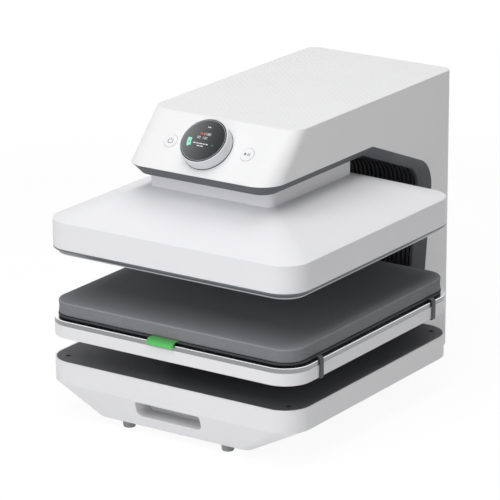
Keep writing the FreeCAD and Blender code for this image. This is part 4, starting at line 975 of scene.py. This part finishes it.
def pour(part: bmesh.types.BMesh, into: bmesh.types.BMesh) -> None:
    """Add one mesh to another, and free it.

    Args:
        part: The mesh to add.
        into: The mesh that takes it.
    """
    carrier = bpy.data.meshes.new("carrier")
    part.to_mesh(carrier)
    part.free()
    into.from_mesh(carrier)
    bpy.data.meshes.remove(carrier)


def tile(mesh: bmesh.types.BMesh, width: float, height: float, place: Matrix) -> None:
    """Lay a flat rectangle.

    Args:
        mesh: The mesh that takes it.
        width: How wide it is.
        height: How tall it is.
        place: Where its middle goes.
    """
    bmesh.ops.create_grid(mesh, x_segments=1, y_segments=1, size=0.5,
                          matrix=place @ Matrix.Diagonal((width, height, 1.0, 1.0)))


def cut(mesh: bmesh.types.BMesh, point: Vector, normal: Vector) -> None:
    """Draw new edges where a plane crosses a mesh.

    Args:
        mesh: The mesh.
        point: A point on the plane.
        normal: The way the plane faces.
    """
    bmesh.ops.bisect_plane(mesh, geom=parts(mesh), plane_co=point, plane_no=normal, dist=MERGE)


def level_edges(mesh: bmesh.types.BMesh, height: float) -> list[bmesh.types.BMEdge]:
    """Find the rim edges that lie at one height.

    Args:
        mesh: The mesh.
        height: The height.

    Returns:
        The edges between an upright face and a level one.
    """
    found = []
    for edge in mesh.edges:
        if any(abs(vert.co.z - height) > LEVEL for vert in edge.verts):
            continue
        if any(abs(face.normal.z) < 0.5 for face in edge.link_faces):
            found.append(edge)
    return found


class Trace:
    """A line drawn by moving its last point, which becomes a strip or a turned body."""

    def __init__(self, start: Vector) -> None:
        """Put down the first point."""
        self.mesh = bmesh.new()
        self.tip = bmesh.ops.create_vert(self.mesh, co=start)["vert"][0]

    def line(self, *points: Vector) -> "Trace":
        """Draw straight on.

        Args:
            points: The points to go through.

        Returns:
            The trace.
        """
        for point in points:
            made = bmesh.ops.extrude_vert_indiv(self.mesh, verts=[self.tip])
            self.tip = made["verts"][0]
            self.tip.co = point
        return self

    def arc(self, centre: Vector, axis: Vector, degrees: float, steps: int = 6) -> "Trace":
        """Draw on round a centre.

        Args:
            centre: The centre.
            axis: The line to turn about.
            degrees: How far to turn.
            steps: How many pieces the bend has.

        Returns:
            The trace.
        """
        made = bmesh.ops.spin(self.mesh, geom=[self.tip], cent=centre, axis=axis,
                              angle=math.radians(degrees), steps=steps, use_merge=False)
        self.tip = [item for item in made["geom_last"] if isinstance(item, bmesh.types.BMVert)][0]
        return self

    def sweep(self, step: Vector, count: int) -> "Trace":
        """Drag the line sideways, so that it becomes a strip.

        Args:
            step: How far it goes at a time.
            count: How many times it goes.

        Returns:
            The trace.
        """
        edges = list(self.mesh.edges)
        for _ in range(count):
            made = bmesh.ops.extrude_edge_only(self.mesh, edges=edges)
            verts = new_verts(made)
            edges = [item for item in made["geom"] if isinstance(item, bmesh.types.BMEdge)
                     and all(vert in verts for vert in item.verts)]
            bmesh.ops.translate(self.mesh, verts=verts, vec=step)
        return self

    def turned(self, centre: Vector, axis: Vector, steps: int = 48) -> bmesh.types.BMesh:
        """Spin the line into a full body.

        Args:
            centre: A point on the axis.
            axis: The line to turn about.
            steps: How many faces go round.

        Returns:
            The body's mesh.
        """
        bmesh.ops.spin(self.mesh, geom=parts(self.mesh), cent=centre, axis=axis, angle=math.tau, steps=steps,
                       use_merge=True)
        bmesh.ops.remove_doubles(self.mesh, verts=self.mesh.verts, dist=MERGE)
        return self.mesh


@dataclass
class CrossScrew:
    """A pan head screw with a cross recess, seated on a face."""

    radius: float = 3.0 * MM
    height: float = 1.2 * MM
    recess: float = 0.7 * MM
    crown: float = 0.8
    shoulder: float = 0.35
    grid: float = 0.95
    arm: float = 0.45

    def add(self, mesh: bmesh.types.BMesh, seat: Vector, facing: Vector, turn: float) -> None:
        """Model one head.

        Args:
            mesh: The mesh that takes it.
            seat: The middle of the face that it is seated on.
            facing: The way the head looks.
            turn: How far the cross is turned, in radians.
        """
        head = bmesh.new()
        side = self.radius * self.grid
        bmesh.ops.create_grid(head, x_segments=5, y_segments=5, size=side / 2)
        middles = {face: face.calc_center_median() for face in head.faces}
        cross = [face for face, middle in middles.items()
                 if min(abs(middle.x), abs(middle.y)) < side / 10 and middle.length < side * self.arm]
        sunk = new_verts(bmesh.ops.extrude_face_region(head, geom=cross))
        bmesh.ops.delete(head, geom=cross, context="FACES_ONLY")
        bmesh.ops.translate(head, verts=sunk, vec=(0, 0, -self.recess))
        rim = [edge for edge in head.edges if edge.is_boundary]
        ring = bmesh.ops.create_circle(head, segments=20, radius=self.radius * self.crown)["verts"]
        circle = [edge for edge in head.edges if edge.is_boundary and edge not in rim
                  and all(vert in ring for vert in edge.verts)]
        bmesh.ops.bridge_loops(head, edges=rim + circle)
        for drop in (self.shoulder, 1.0):
            outer = [edge for edge in head.edges if edge.is_boundary]
            for vert in new_verts(bmesh.ops.extrude_edge_only(head, edges=outer)):
                flat = Vector((vert.co.x, vert.co.y, 0)).normalized() * self.radius
                vert.co = Vector((flat.x, flat.y, -self.height * drop))
        bmesh.ops.holes_fill(head, edges=[edge for edge in head.edges if edge.is_boundary], sides=0)
        spin = Vector((0, 0, 1)).rotation_difference(facing).to_matrix().to_4x4()
        place = Matrix.Translation(seat + facing * self.height) @ spin @ Matrix.Rotation(turn, 4, "Z")
        bmesh.ops.transform(head, matrix=place, verts=head.verts)
        pour(head, mesh)


@dataclass
class Base(Maker):
    """The white tub, its dark top plate, the plate's screws and the feet."""

    screw_inset: float = 3.4 * MM
    first_turn: float = 0.4
    turn_step: float = 0.7

    def build(self) -> None:
        """Finish the base and set its small screws."""
        dress(Finishes.TUB, "base_shell")
        dress(Finishes.BASE_PLATE, "base_top_plate")
        dress(Finishes.FOOT, "rubber_feet")
        dress(Finishes.GROUND, "foot_screws")
        self.screws()

    def screws(self) -> None:
        """Model the heads of the four screws, sunk in the top plate."""
        low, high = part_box("base_plate_screws")
        middle = (low + high) / 2
        mesh = bmesh.new()
        head = CrossScrew()
        reach = (high - low) / 2 - Vector((self.screw_inset, self.screw_inset, 0))
        for index, (x, y) in enumerate(((-1, -1), (1, -1), (1, 1), (-1, 1))):
            seat = Vector((middle.x + x * reach.x, middle.y + y * reach.y, high.z - head.height))
            head.add(mesh, seat, Vector((0, 0, 1)), self.first_turn + index * self.turn_step)
        made = self.piece(mesh, "plate_screw_heads", Finishes.SCREW, "dark_screw")
        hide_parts("base_plate_screws")


@dataclass
class Table(Maker):
    """The lower table: its band, rim, pad, clips and tab."""

    pad_corner: tuple[float, int] = (30.0 * MM, 12)
    pad_edge: tuple[float, int] = (3.0 * MM, 6)
    pad_foot: tuple[float, int] = (2.0 * MM, 4)
    pad_crown: float = 0.35 * MM
    pad_skin: float = 0.5 * MM
    pad_sink: float = 0.15 * MM
    pad_waist: float = 1.0 * MM
    waist_reach: float = 1.5 * MM
    pad_step: float = 14.0 * MM
    ripple: float = 0.12 * MM
    ripple_waves: float = 34.0
    draw: float = 0.0022
    draw_waves: float = 21.0
    tab_width: float = 41.4 * MM
    tab_middle: float = -3.5 * MM
    tab_thickness: float = 0.9 * MM
    tab_skew: float = 4.2 * MM
    tab_hang: float = 1.8 * MM
    tab_root: tuple[float, float] = (2.0 * MM, 0.9 * MM)
    tab_fold: float = 0.8 * MM
    tab_return: float = 62.0
    tab_curl: float = 0.30 * MM
    tab_level: float = 0.4
    tab_wave: float = 0.12 * MM
    tab_waves: float = 5.0
    tab_steps: int = 14

    def build(self) -> None:
        """Finish the table and model its soft pieces."""
        dress(Finishes.WHITE, "tray_housing")
        dress(Finishes.RIM, "tray_plate")
        dress(Finishes.BOARD, "pad_board")
        dress(Finishes.CLIP, "pad_clips")
        self.pad()
        self.tab()

    def pad(self) -> None:
        """Model the firm foam pad: soft edges, a faint crown and sides that draw in a little."""
        low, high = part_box("press_pad")
        size = high - low
        middle = (low + high) / 2
        mesh = bmesh.new()
        bmesh.ops.create_cube(mesh, size=1.0)
        bmesh.ops.scale(mesh, vec=size, verts=mesh.verts)
        bmesh.ops.translate(mesh, vec=middle, verts=mesh.verts)
        upright = [edge for edge in mesh.edges
                   if abs(edge.verts[0].co.z - edge.verts[1].co.z) > size.z / 2]
        bevel(mesh, upright, *self.pad_corner)
        bevel(mesh, level_edges(mesh, high.z), *self.pad_edge)
        bevel(mesh, level_edges(mesh, low.z), *self.pad_foot)
        for axis in range(2):
            count = int(size[axis] / self.pad_step)
            for index in range(1, count):
                point, normal = Vector(middle), Vector()
                point[axis] = low[axis] + size[axis] * index / count
                normal[axis] = 1.0
                cut(mesh, point, normal)
        cut(mesh, Vector((0, 0, middle.z - self.pad_waist)), Vector((0, 0, 1)))
        self._settle(mesh, low, high)
        made = self.piece(mesh, "foam_pad", Finishes.PAD, "pad_fabric")
        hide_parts("press_pad")

    def _settle(self, mesh: bmesh.types.BMesh, low: Vector, high: Vector) -> None:
        """Crown the pad's top, ripple it faintly and draw in its sides.

        Args:
            mesh: The pad.
            low: Its lowest corner.
            high: Its highest corner.
        """
        half = (high - low) / 2
        middle = (low + high) / 2
        for vert in mesh.verts:
            share = max(abs(vert.co.x - middle.x) / half.x, abs(vert.co.y - middle.y) / half.y)
            ripple = noise.noise(vert.co * self.ripple_waves) * self.ripple
            if vert.co.z > high.z - self.pad_skin:
                vert.co.z += ripple - self.pad_crown * share ** 6 - self.pad_sink
            elif abs(vert.co.z - (middle.z - self.pad_waist)) < self.waist_reach:
                pull = 1.0 - self.draw * (1.0 + noise.noise(vert.co * self.draw_waves))
                vert.co.x = middle.x + (vert.co.x - middle.x) * pull
                vert.co.y = middle.y + (vert.co.y - middle.y) * pull

    def tab(self) -> None:
        """Model the ribbon that leaves under the pad, rolls over the rim and turns back on itself."""
        low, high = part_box("pull_tab")
        half = self.tab_thickness / 2
        behind, above = self.tab_root
        back = Vector((self.tab_middle - self.tab_width / 2, high.y + behind, high.z + above))
        front, bottom, fold = low.y + half, low.z + half - self.tab_hang, self.tab_fold
        bend = back.z - bottom - fold
        trace = Trace(back)
        centre = Vector((back.x, front + bend, back.z - bend))
        trace.line(centre + Vector((0, 0, bend)))
        trace.arc(centre, Vector((1, 0, 0)), 90, 12)
        trace.arc(Vector((back.x, front + fold, bottom + fold)), Vector((1, 0, 0)), 180, 8)
        trace.arc(centre, Vector((-1, 0, 0)), self.tab_return, 8)
        trace.sweep(Vector((self.tab_width / self.tab_steps, 0, 0)), self.tab_steps)
        mesh = trace.mesh
        bmesh.ops.recalc_face_normals(mesh, faces=mesh.faces)
        for vert in mesh.verts:
            share = (vert.co.x - self.tab_middle) / (self.tab_width / 2)
            loose = max(0.0, min(1.0, (back.y - vert.co.y) / (back.y - front)))
            curl = self.tab_curl * (share * share - self.tab_level)
            vert.co.z += (curl + self.tab_wave * math.sin(share * self.tab_waves)) * loose
            vert.co.x -= self.tab_skew * loose
        bmesh.ops.solidify(mesh, geom=mesh.faces, thickness=self.tab_thickness)
        made = self.piece(mesh, "green_tab", Finishes.TAB, "tab_rubber")
        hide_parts("pull_tab")


@dataclass
class Platen(Maker):
    """The heated platen with its cover and neck."""

    body: str = "platen"

    def build(self) -> None:
        """Finish the platen's pieces."""
        dress(Finishes.COVER, "platen_cover", "neck_shroud")
        dress(Finishes.TRIM, "platen_trim")
        dress(Finishes.HEAT, "heat_plate")
        dress(Finishes.HEATER, "heating_element", "temperature_probe")
        dress(Finishes.BLANKET, "insulation_blanket")
        dress(Finishes.BLACK, "thermal_cutout")
        dress(Finishes.STEEL, "carrier_plate", "platen_spacers", "ram_tube")
        dress(Finishes.BRASS, "ram_nut")
        dress(Finishes.GROUND, "guide_rods")


@dataclass
class Drive(Maker):
    """The lift drive and the steel frame inside the housing."""

    def build(self) -> None:
        """Finish the drive's pieces."""
        dress(Finishes.STEEL, "frame_plate_left", "frame_plate_right", "base_cross_plate", "column_tie_plate",
              "head_frame_plate", "drive_plate", "drive_standoffs")
        dress(Finishes.CAST, "tray_pedestal")
        dress(Finishes.GROUND, "linear_bearings", "screw_bearing", "motor_shaft")
        dress(Finishes.MOTOR, "gear_motor")
        dress(Finishes.BRASS, "motor_pinion")
        dress(Finishes.NYLON, "screw_gear")
        dress(Finishes.LEAD, "lead_screw")
        dress(Finishes.SLEEVE, "inner_sleeve")
        dress(Finishes.CIRCUIT, "control_board", "console_board")
        dress(Finishes.CASE, "power_supply")
        dress(Finishes.BLACK, "tact_switches")


@dataclass
class Head(Maker):
    """The housing of head and column with the liner and ribs of its throat."""

    def build(self) -> None:
        """Finish the head's pieces."""
        dress(Finishes.HOUSING, "outer_housing")
        dress(Finishes.LINER, "throat_liner")
        dress(Finishes.RIBS, "throat_ribs")


@dataclass
class ColumnBack(Maker):
    """The column's back: cover, screws, fan, inlet and mains switch."""

    screw_inset: float = 3.0 * MM
    first_turn: float = 0.3
    turn_step: float = 0.8
    pivot: tuple[float, float] = (263.025 * MM, 62.0 * MM)
    rocker_tilt: float = math.radians(-7)
    rocker_face: float = 3.66 * MM
    mark_reach: float = 3.1 * MM
    stroke: tuple[float, float, float] = (0.72 * MM, 0.1 * MM, 3.0 * MM)
    ring: tuple[float, float] = (1.1 * MM, 1.7 * MM)

    def build(self) -> None:
        """Finish the back and set its screws and the switch's marks."""
        dress(Finishes.REAR, "rear_cover")
        dress(Finishes.BLACK, "fan_frame", "fan_rotor", "power_inlet", "switch_body", "switch_rocker")
        self.screws()
        self.marks()

    def screws(self) -> None:
        """Model the rear cover's screw heads."""
        low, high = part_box("rear_cover_screws")
        mesh = bmesh.new()
        head, inset = CrossScrew(), self.screw_inset
        for row in range(3):
            z = low.z + inset + (high.z - low.z - 2 * inset) * row / 2
            for side in (-1, 1):
                seat = Vector((side * (high.x - inset), high.y - head.height, z))
                head.add(mesh, seat, Vector((0, 1, 0)), self.first_turn + row * self.turn_step + side)
        made = self.piece(mesh, "rear_screw_heads", Finishes.SCREW, "dark_screw")
        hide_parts("rear_cover_screws")

    def marks(self) -> None:
        """Print the on and off marks on the rocker."""
        low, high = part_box("switch_rocker")
        mesh = bmesh.new()
        bmesh.ops.create_cube(mesh, size=1.0, matrix=Matrix.Translation((0, 0, self.mark_reach))
                              @ Matrix.Diagonal((*self.stroke, 1.0)))
        centre = Vector((0, 0, -self.mark_reach))
        inner, outer = (centre + Vector((radius, 0, 0)) for radius in self.ring)
        pour(Trace(inner).line(outer).turned(centre, Vector((0, 1, 0)), 24), mesh)
        pivot = Vector(((low.x + high.x) / 2, *self.pivot))
        place = (Matrix.Translation(pivot) @ Matrix.Rotation(self.rocker_tilt, 4, "X")
                 @ Matrix.Translation((0, self.rocker_face, 0)))
        bmesh.ops.transform(mesh, matrix=place, verts=mesh.verts)
        self.piece(mesh, "rocker_marks", Finishes.BUTTON, "button_white", body="rocker", smooth=False)


@dataclass
class Console(Maker):
    """The slanted face: knob, display artwork and the icons on the two keys."""

    lean: float = math.radians(43.2)
    glass_height: float = 17.2 * MM
    collar_height: float = 1.0 * MM
    key_reach: float = 60.6 * MM
    key_height: float = 0.5 * MM
    skin: float = 0.06 * MM
    type_scale: float = 1.3
    tag_band: tuple[float, float] = (17.9 * MM, 24.0 * MM)
    tag_turn: tuple[float, float] = (176.0, 34.0)
    tag_spot: tuple[float, float] = (-19.9 * MM, -4.9 * MM)
    tag_size: tuple[float, float] = (2.0 * MM, 2.8 * MM)
    line_radius: float = 31.1 * MM
    line_half: tuple[float, float] = (0.22 * MM, 0.12 * MM)
    ring: float = 3.7 * MM
    stroke: float = 0.9 * MM
    ring_turn: tuple[float, float] = (52.0, -284.0)
    dash: tuple[float, float] = (0.85, 1.05)
    arrow: tuple[float, float] = (2.7 * MM, -2.9 * MM)
    pause_spots: tuple[float, float] = (1.7 * MM, 4.1 * MM)
    pause_bar: tuple[float, float] = (1.0 * MM, 4.6 * MM)

    def build(self) -> None:
        """Finish the console and draw its artwork."""
        dress(Finishes.KNOB, "knob_ring")
        dress(Finishes.COLLAR, "knob_collar")
        dress(Finishes.BLACK, "display_body")
        dress(Finishes.GLASS, "display_glass")
        dress(Finishes.BUTTON, "power_button", "start_button")
        self.display()
        self.glass_line()
        self.power_icon()
        self.start_icon()

    @property
    def centre(self) -> Vector:
        """Give the middle of the slanted face.

        Returns:
            The point under the knob's collar.
        """
        low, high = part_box("knob_collar")
        middle = (low + high) / 2
        return middle - Vector((0, -math.sin(self.lean), math.cos(self.lean))) * self.collar_height / 2

    def place(self, x: float, y: float, height: float) -> Matrix:
        """Give the place of a point on the console.

        Args:
            x: How far right of the middle.
            y: How far up the slope.
            height: How far off the face.

        Returns:
            The matrix that moves flat artwork there.
        """
        turn = Matrix.Rotation(self.lean, 4, "X")
        return Matrix.Translation(self.centre) @ turn @ Matrix.Translation((x, y, height))

    def lay(self, mesh: bmesh.types.BMesh, name: str, finish: Finish, place: Matrix,
            slot: str = "display_glass", body: str | None = None) -> None:
        """Put flat artwork in its place.

        Args:
            mesh: The artwork, flat round the origin; it is freed.
            name: The piece's name.
            finish: Its colour.
            place: Where it goes.
            slot: The record's material slot.
            body: The body that carries it, if not the usual one.
        """
        bmesh.ops.transform(mesh, matrix=place, verts=mesh.verts)
        self.piece(mesh, name, finish, slot, body=body, smooth=False)

    def display(self) -> None:
        """Draw the display: a temperature, a time, two rows of short bars and a tag."""
        white = Finishes.GLOW_WHITE
        self.figures("164", -10.4, 8.0, 4.2, Finishes.GLOW_RED, "set_temperature")
        self.figures("/180", -2.6, 8.0, 4.2, white, "plate_temperature")
        self.figures("00  120", -11.4, 2.0, 3.9, white, "timer_figures")
        self.bars("status_bars", 20.5, 1.6, ((-2.6, 1.6), (-0.2, 2.2)), white)
        self.bars("upper_text_bars", -5.3, 1.25,
                  ((-13.8, 4.4), (-8.5, 3.6), (-4.0, 5.0), (1.9, 3.0), (5.8, 3.6)), white)
        self.bars("lower_text_bars", -8.9, 1.2, ((-6.3, 4.2), (-1.3, 4.9)), white)
        self.bars("corner_fleck", -5.5, 1.4, ((15.4, 1.8),), Finishes.GLOW_TEAL)
        self.tag()

    def figures(self, text: str, x: float, y: float, height: float, finish: Finish, name: str) -> None:
        """Set some figures on the glass.

        Args:
            text: The figures.
            x: Their left edge in millimetres.
            y: Their foot in millimetres.
            height: How tall they are in millimetres.
            finish: Their colour.
            name: The piece's name.
        """
        curve = bpy.data.curves.new(name, "FONT")
        curve.body = text
        curve.size = height * self.type_scale * MM
        holder = shown(name + "_text", curve)
        bpy.context.view_layer.update()
        flat = bpy.data.meshes.new_from_object(holder.evaluated_get(bpy.context.evaluated_depsgraph_get()))
        mesh = bmesh.new()
        mesh.from_mesh(flat)
        bpy.data.objects.remove(holder)
        self.lay(mesh, name, finish, self.place(x * MM, y * MM, self.glass_height + self.skin))

    def bars(self, name: str, y: float, height: float, spans: Sequence[tuple[float, float]],
             finish: Finish) -> None:
        """Draw a row of short bars on the glass.

        Args:
            name: The piece's name.
            y: The height of their middle in millimetres.
            height: How tall they are in millimetres.
            spans: The left edge and length of each in millimetres.
            finish: Their colour.
        """
        mesh = bmesh.new()
        for x, length in spans:
            tile(mesh, length * MM, height * MM, Matrix.Translation(((x + length / 2) * MM, 0, 0)))
        self.lay(mesh, name, finish, self.place(0.0, y * MM, self.glass_height + self.skin))

    def swept(self, inner: float, outer: float, start: float, turn: float, steps: int) -> bmesh.types.BMesh:
        """Sweep a flat band round the console's middle.

        Args:
            inner: Its inner radius.
            outer: Its outer radius.
            start: Where it starts, in degrees from the right.
            turn: How far it goes round, in degrees.
            steps: How many faces it has.

        Returns:
            The band, flat in its own plane.
        """
        mesh = Trace(Vector((inner, 0, 0))).line(Vector((outer, 0, 0))).mesh
        bmesh.ops.rotate(mesh, verts=mesh.verts, cent=Vector(),
                         matrix=Matrix.Rotation(math.radians(start), 3, "Z"))
        bmesh.ops.spin(mesh, geom=parts(mesh), cent=Vector(), axis=Vector((0, 0, 1)),
                       angle=math.radians(turn), steps=steps, use_merge=False)
        return mesh

    def tag(self) -> None:
        """Draw the curved tag at the display's left, with its darker middle."""
        height = self.glass_height + self.skin
        band = self.swept(*self.tag_band, *self.tag_turn, 10)
        self.lay(band, "display_tag", Finishes.GLOW_MINT, self.place(0.0, 0.0, height))
        mesh = bmesh.new()
        bmesh.ops.create_circle(mesh, cap_ends=True, segments=12, radius=0.5)
        place = self.place(*self.tag_spot, height + self.skin) @ Matrix.Diagonal((*self.tag_size, 1.0, 1.0))
        self.lay(mesh, "tag_middle", Finishes.GLOW_TEAL, place)

    def glass_line(self) -> None:
        """Lay the thin metal line that runs just inside the glass's edge."""
        across, up = self.line_half
        inner, outer = self.line_radius - across, self.line_radius + across
        foot = Vector((inner, 0, -up))
        corners = [Vector((x, 0, z)) for x, z in ((inner, up), (outer, up), (outer, -up))]
        trace = Trace(foot).line(*corners, foot)
        self.lay(trace.turned(Vector(), Vector((0, 0, 1)), 96), "glass_line", Finishes.GLASS_LINE,
                 self.place(0.0, 0.0, self.glass_height))

    def power_icon(self) -> None:
        """Print the power sign on the left key."""
        mesh = self.swept(self.ring - self.stroke / 2, self.ring + self.stroke / 2, *self.ring_turn, 36)
        rise, length = (self.ring * share for share in self.dash)
        tile(mesh, self.stroke, length, Matrix.Translation((0, rise, 0)))
        place = self.place(-self.key_reach, 0.0, self.key_height + self.skin)
        self.lay(mesh, "power_icon", Finishes.INK, place, "button_white", "power_key")

    def start_icon(self) -> None:
        """Print the start and pause sign on the right key."""
        radius, shift = self.arrow
        mesh = bmesh.new()
        point_right = Matrix.Translation((shift, 0, 0)) @ Matrix.Rotation(-math.pi / 2, 4, "Z")
        bmesh.ops.create_circle(mesh, cap_ends=True, segments=3, radius=radius, matrix=point_right)
        for spot in self.pause_spots:
            tile(mesh, *self.pause_bar, Matrix.Translation((spot, 0, 0)))
        place = self.place(self.key_reach, 0.0, self.key_height + self.skin)
        self.lay(mesh, "start_icon", Finishes.INK, place, "button_white", "start_key")


@dataclass
class Studio:
    """A plain pale studio with soft light and the camera of the photograph."""

    eye: tuple[float, float, float] = (2.31893, -3.49873, 1.52924)
    lens: float = 233.247
    sky: float = 0.155
    floor_size: float = 6.0
    floor_tone: float = 0.90
    floor_glow: float = 0.90
    floor_light: float = 1.03
    shadow_reach: float = 1.1

    def build(self) -> None:
        """Set the camera, the lights and the floor."""
        self.camera()
        self.air()
        self.lamp("roof_light", (0.0, -2.30, 3.60), (0.0, -0.05, 0.2), 3.0, 82.0, mirrored=False)
        self.lamp("overhead_light", (0.2, 0.5, 4.20), (0.0, 0.0, 0.2), 3.0, 54.0)
        self.lamp("low_light", (0.4, -4.0, 1.2), (0.0, 0.0, 0.2), 2.2, 31.0, mirrored=False)
        self.floor()
        bpy.context.scene.view_settings.view_transform = "Standard"

    def camera(self) -> None:
        """Put the camera where the photograph was taken from."""
        right = Vector((0.82915896, 0.55900556, -0.00286292))
        down = Vector((0.1667858, -0.25227083, -0.95317466))
        ahead = Vector((-0.53355217, 0.78985581, -0.30240681))
        data = bpy.data.cameras.new("photo_camera")
        data.lens = self.lens
        data.sensor_width = 36.0
        data.clip_start = 0.1
        data.clip_end = 40.0
        camera = shown("photo_camera", data)
        turn = Matrix((right, -down, -ahead)).transposed().to_4x4()
        camera.matrix_world = Matrix.Translation(self.eye) @ turn
        bpy.context.scene.camera = camera

    def lamp(self, name: str, spot: Sequence[float], target: Sequence[float], side: float,
             power: float, mirrored: bool = True) -> None:
        """Hang one large soft lamp.

        Args:
            name: Its name.
            spot: Where it hangs.
            target: What it faces.
            side: Its side length.
            power: Its power in watts.
            mirrored: Whether polished surfaces show it.
        """
        data = bpy.data.lights.new(name, "AREA")
        data.shape = "SQUARE"
        data.size = side
        data.energy = power
        lamp = shown(name, data)
        lamp.location = spot
        lamp.visible_glossy = mirrored
        lamp.rotation_euler = (Vector(target) - Vector(spot)).to_track_quat("-Z", "Y").to_euler()

    def air(self) -> None:
        """Fill the studio with even light, and keep the background white."""
        world = bpy.data.worlds.new("studio_air")
        bpy.context.scene.world = world
        graph = Graph(world)
        plain = graph.node("ShaderNodeBackground", feeds={"Color": PURE, "Strength": self.sky})
        white = graph.node("ShaderNodeBackground", feeds={"Color": PURE, "Strength": 1.0})
        mixed = graph.node("ShaderNodeMixShader", feeds={0: graph.seen(), 1: plain, 2: white})
        graph.node("ShaderNodeOutputWorld", feeds={"Surface": mixed})

    def floor(self) -> None:
        """Lay the pale floor, which the camera sees as white, with a faint shadow round the press."""
        graph = Graph.finish("studio_floor")
        cloth = graph.node("ShaderNodeBsdfDiffuse", feeds={"Color": (*[self.floor_tone] * 3, 1.0)})
        white = graph.node("ShaderNodeEmission", feeds={"Color": PURE, "Strength": self.floor_light})
        mesh = bmesh.new()
        bmesh.ops.create_grid(mesh, x_segments=1, y_segments=1, size=self.floor_size)
        data = bpy.data.meshes.new("studio_floor")
        mesh.to_mesh(data)
        mesh.free()
        away = graph.vector("LENGTH", graph.place, output=1)
        plain = (away - self.shadow_reach).limited() * (1.0 - self.floor_glow)
        brightened = graph.seen() * (plain + self.floor_glow)
        data.materials.append(graph.close("ShaderNodeMixShader", {0: brightened, 1: cloth, 2: white}))
        floor = shown("studio_floor", data)


def main() -> None:
    """Build every sub-assembly in order, logging each one."""
    logging.basicConfig(level=logging.INFO, format="%(name)s: %(message)s")
    makers: Sequence[Maker | Studio] = (
        Base(), Table(), Platen(), Drive(), Head(), ColumnBack(), Console(), Studio())
    for maker in makers:
        LOG.info("building the %s", type(maker).__name__)
        maker.build()


if __name__ == "__main__":
    main()
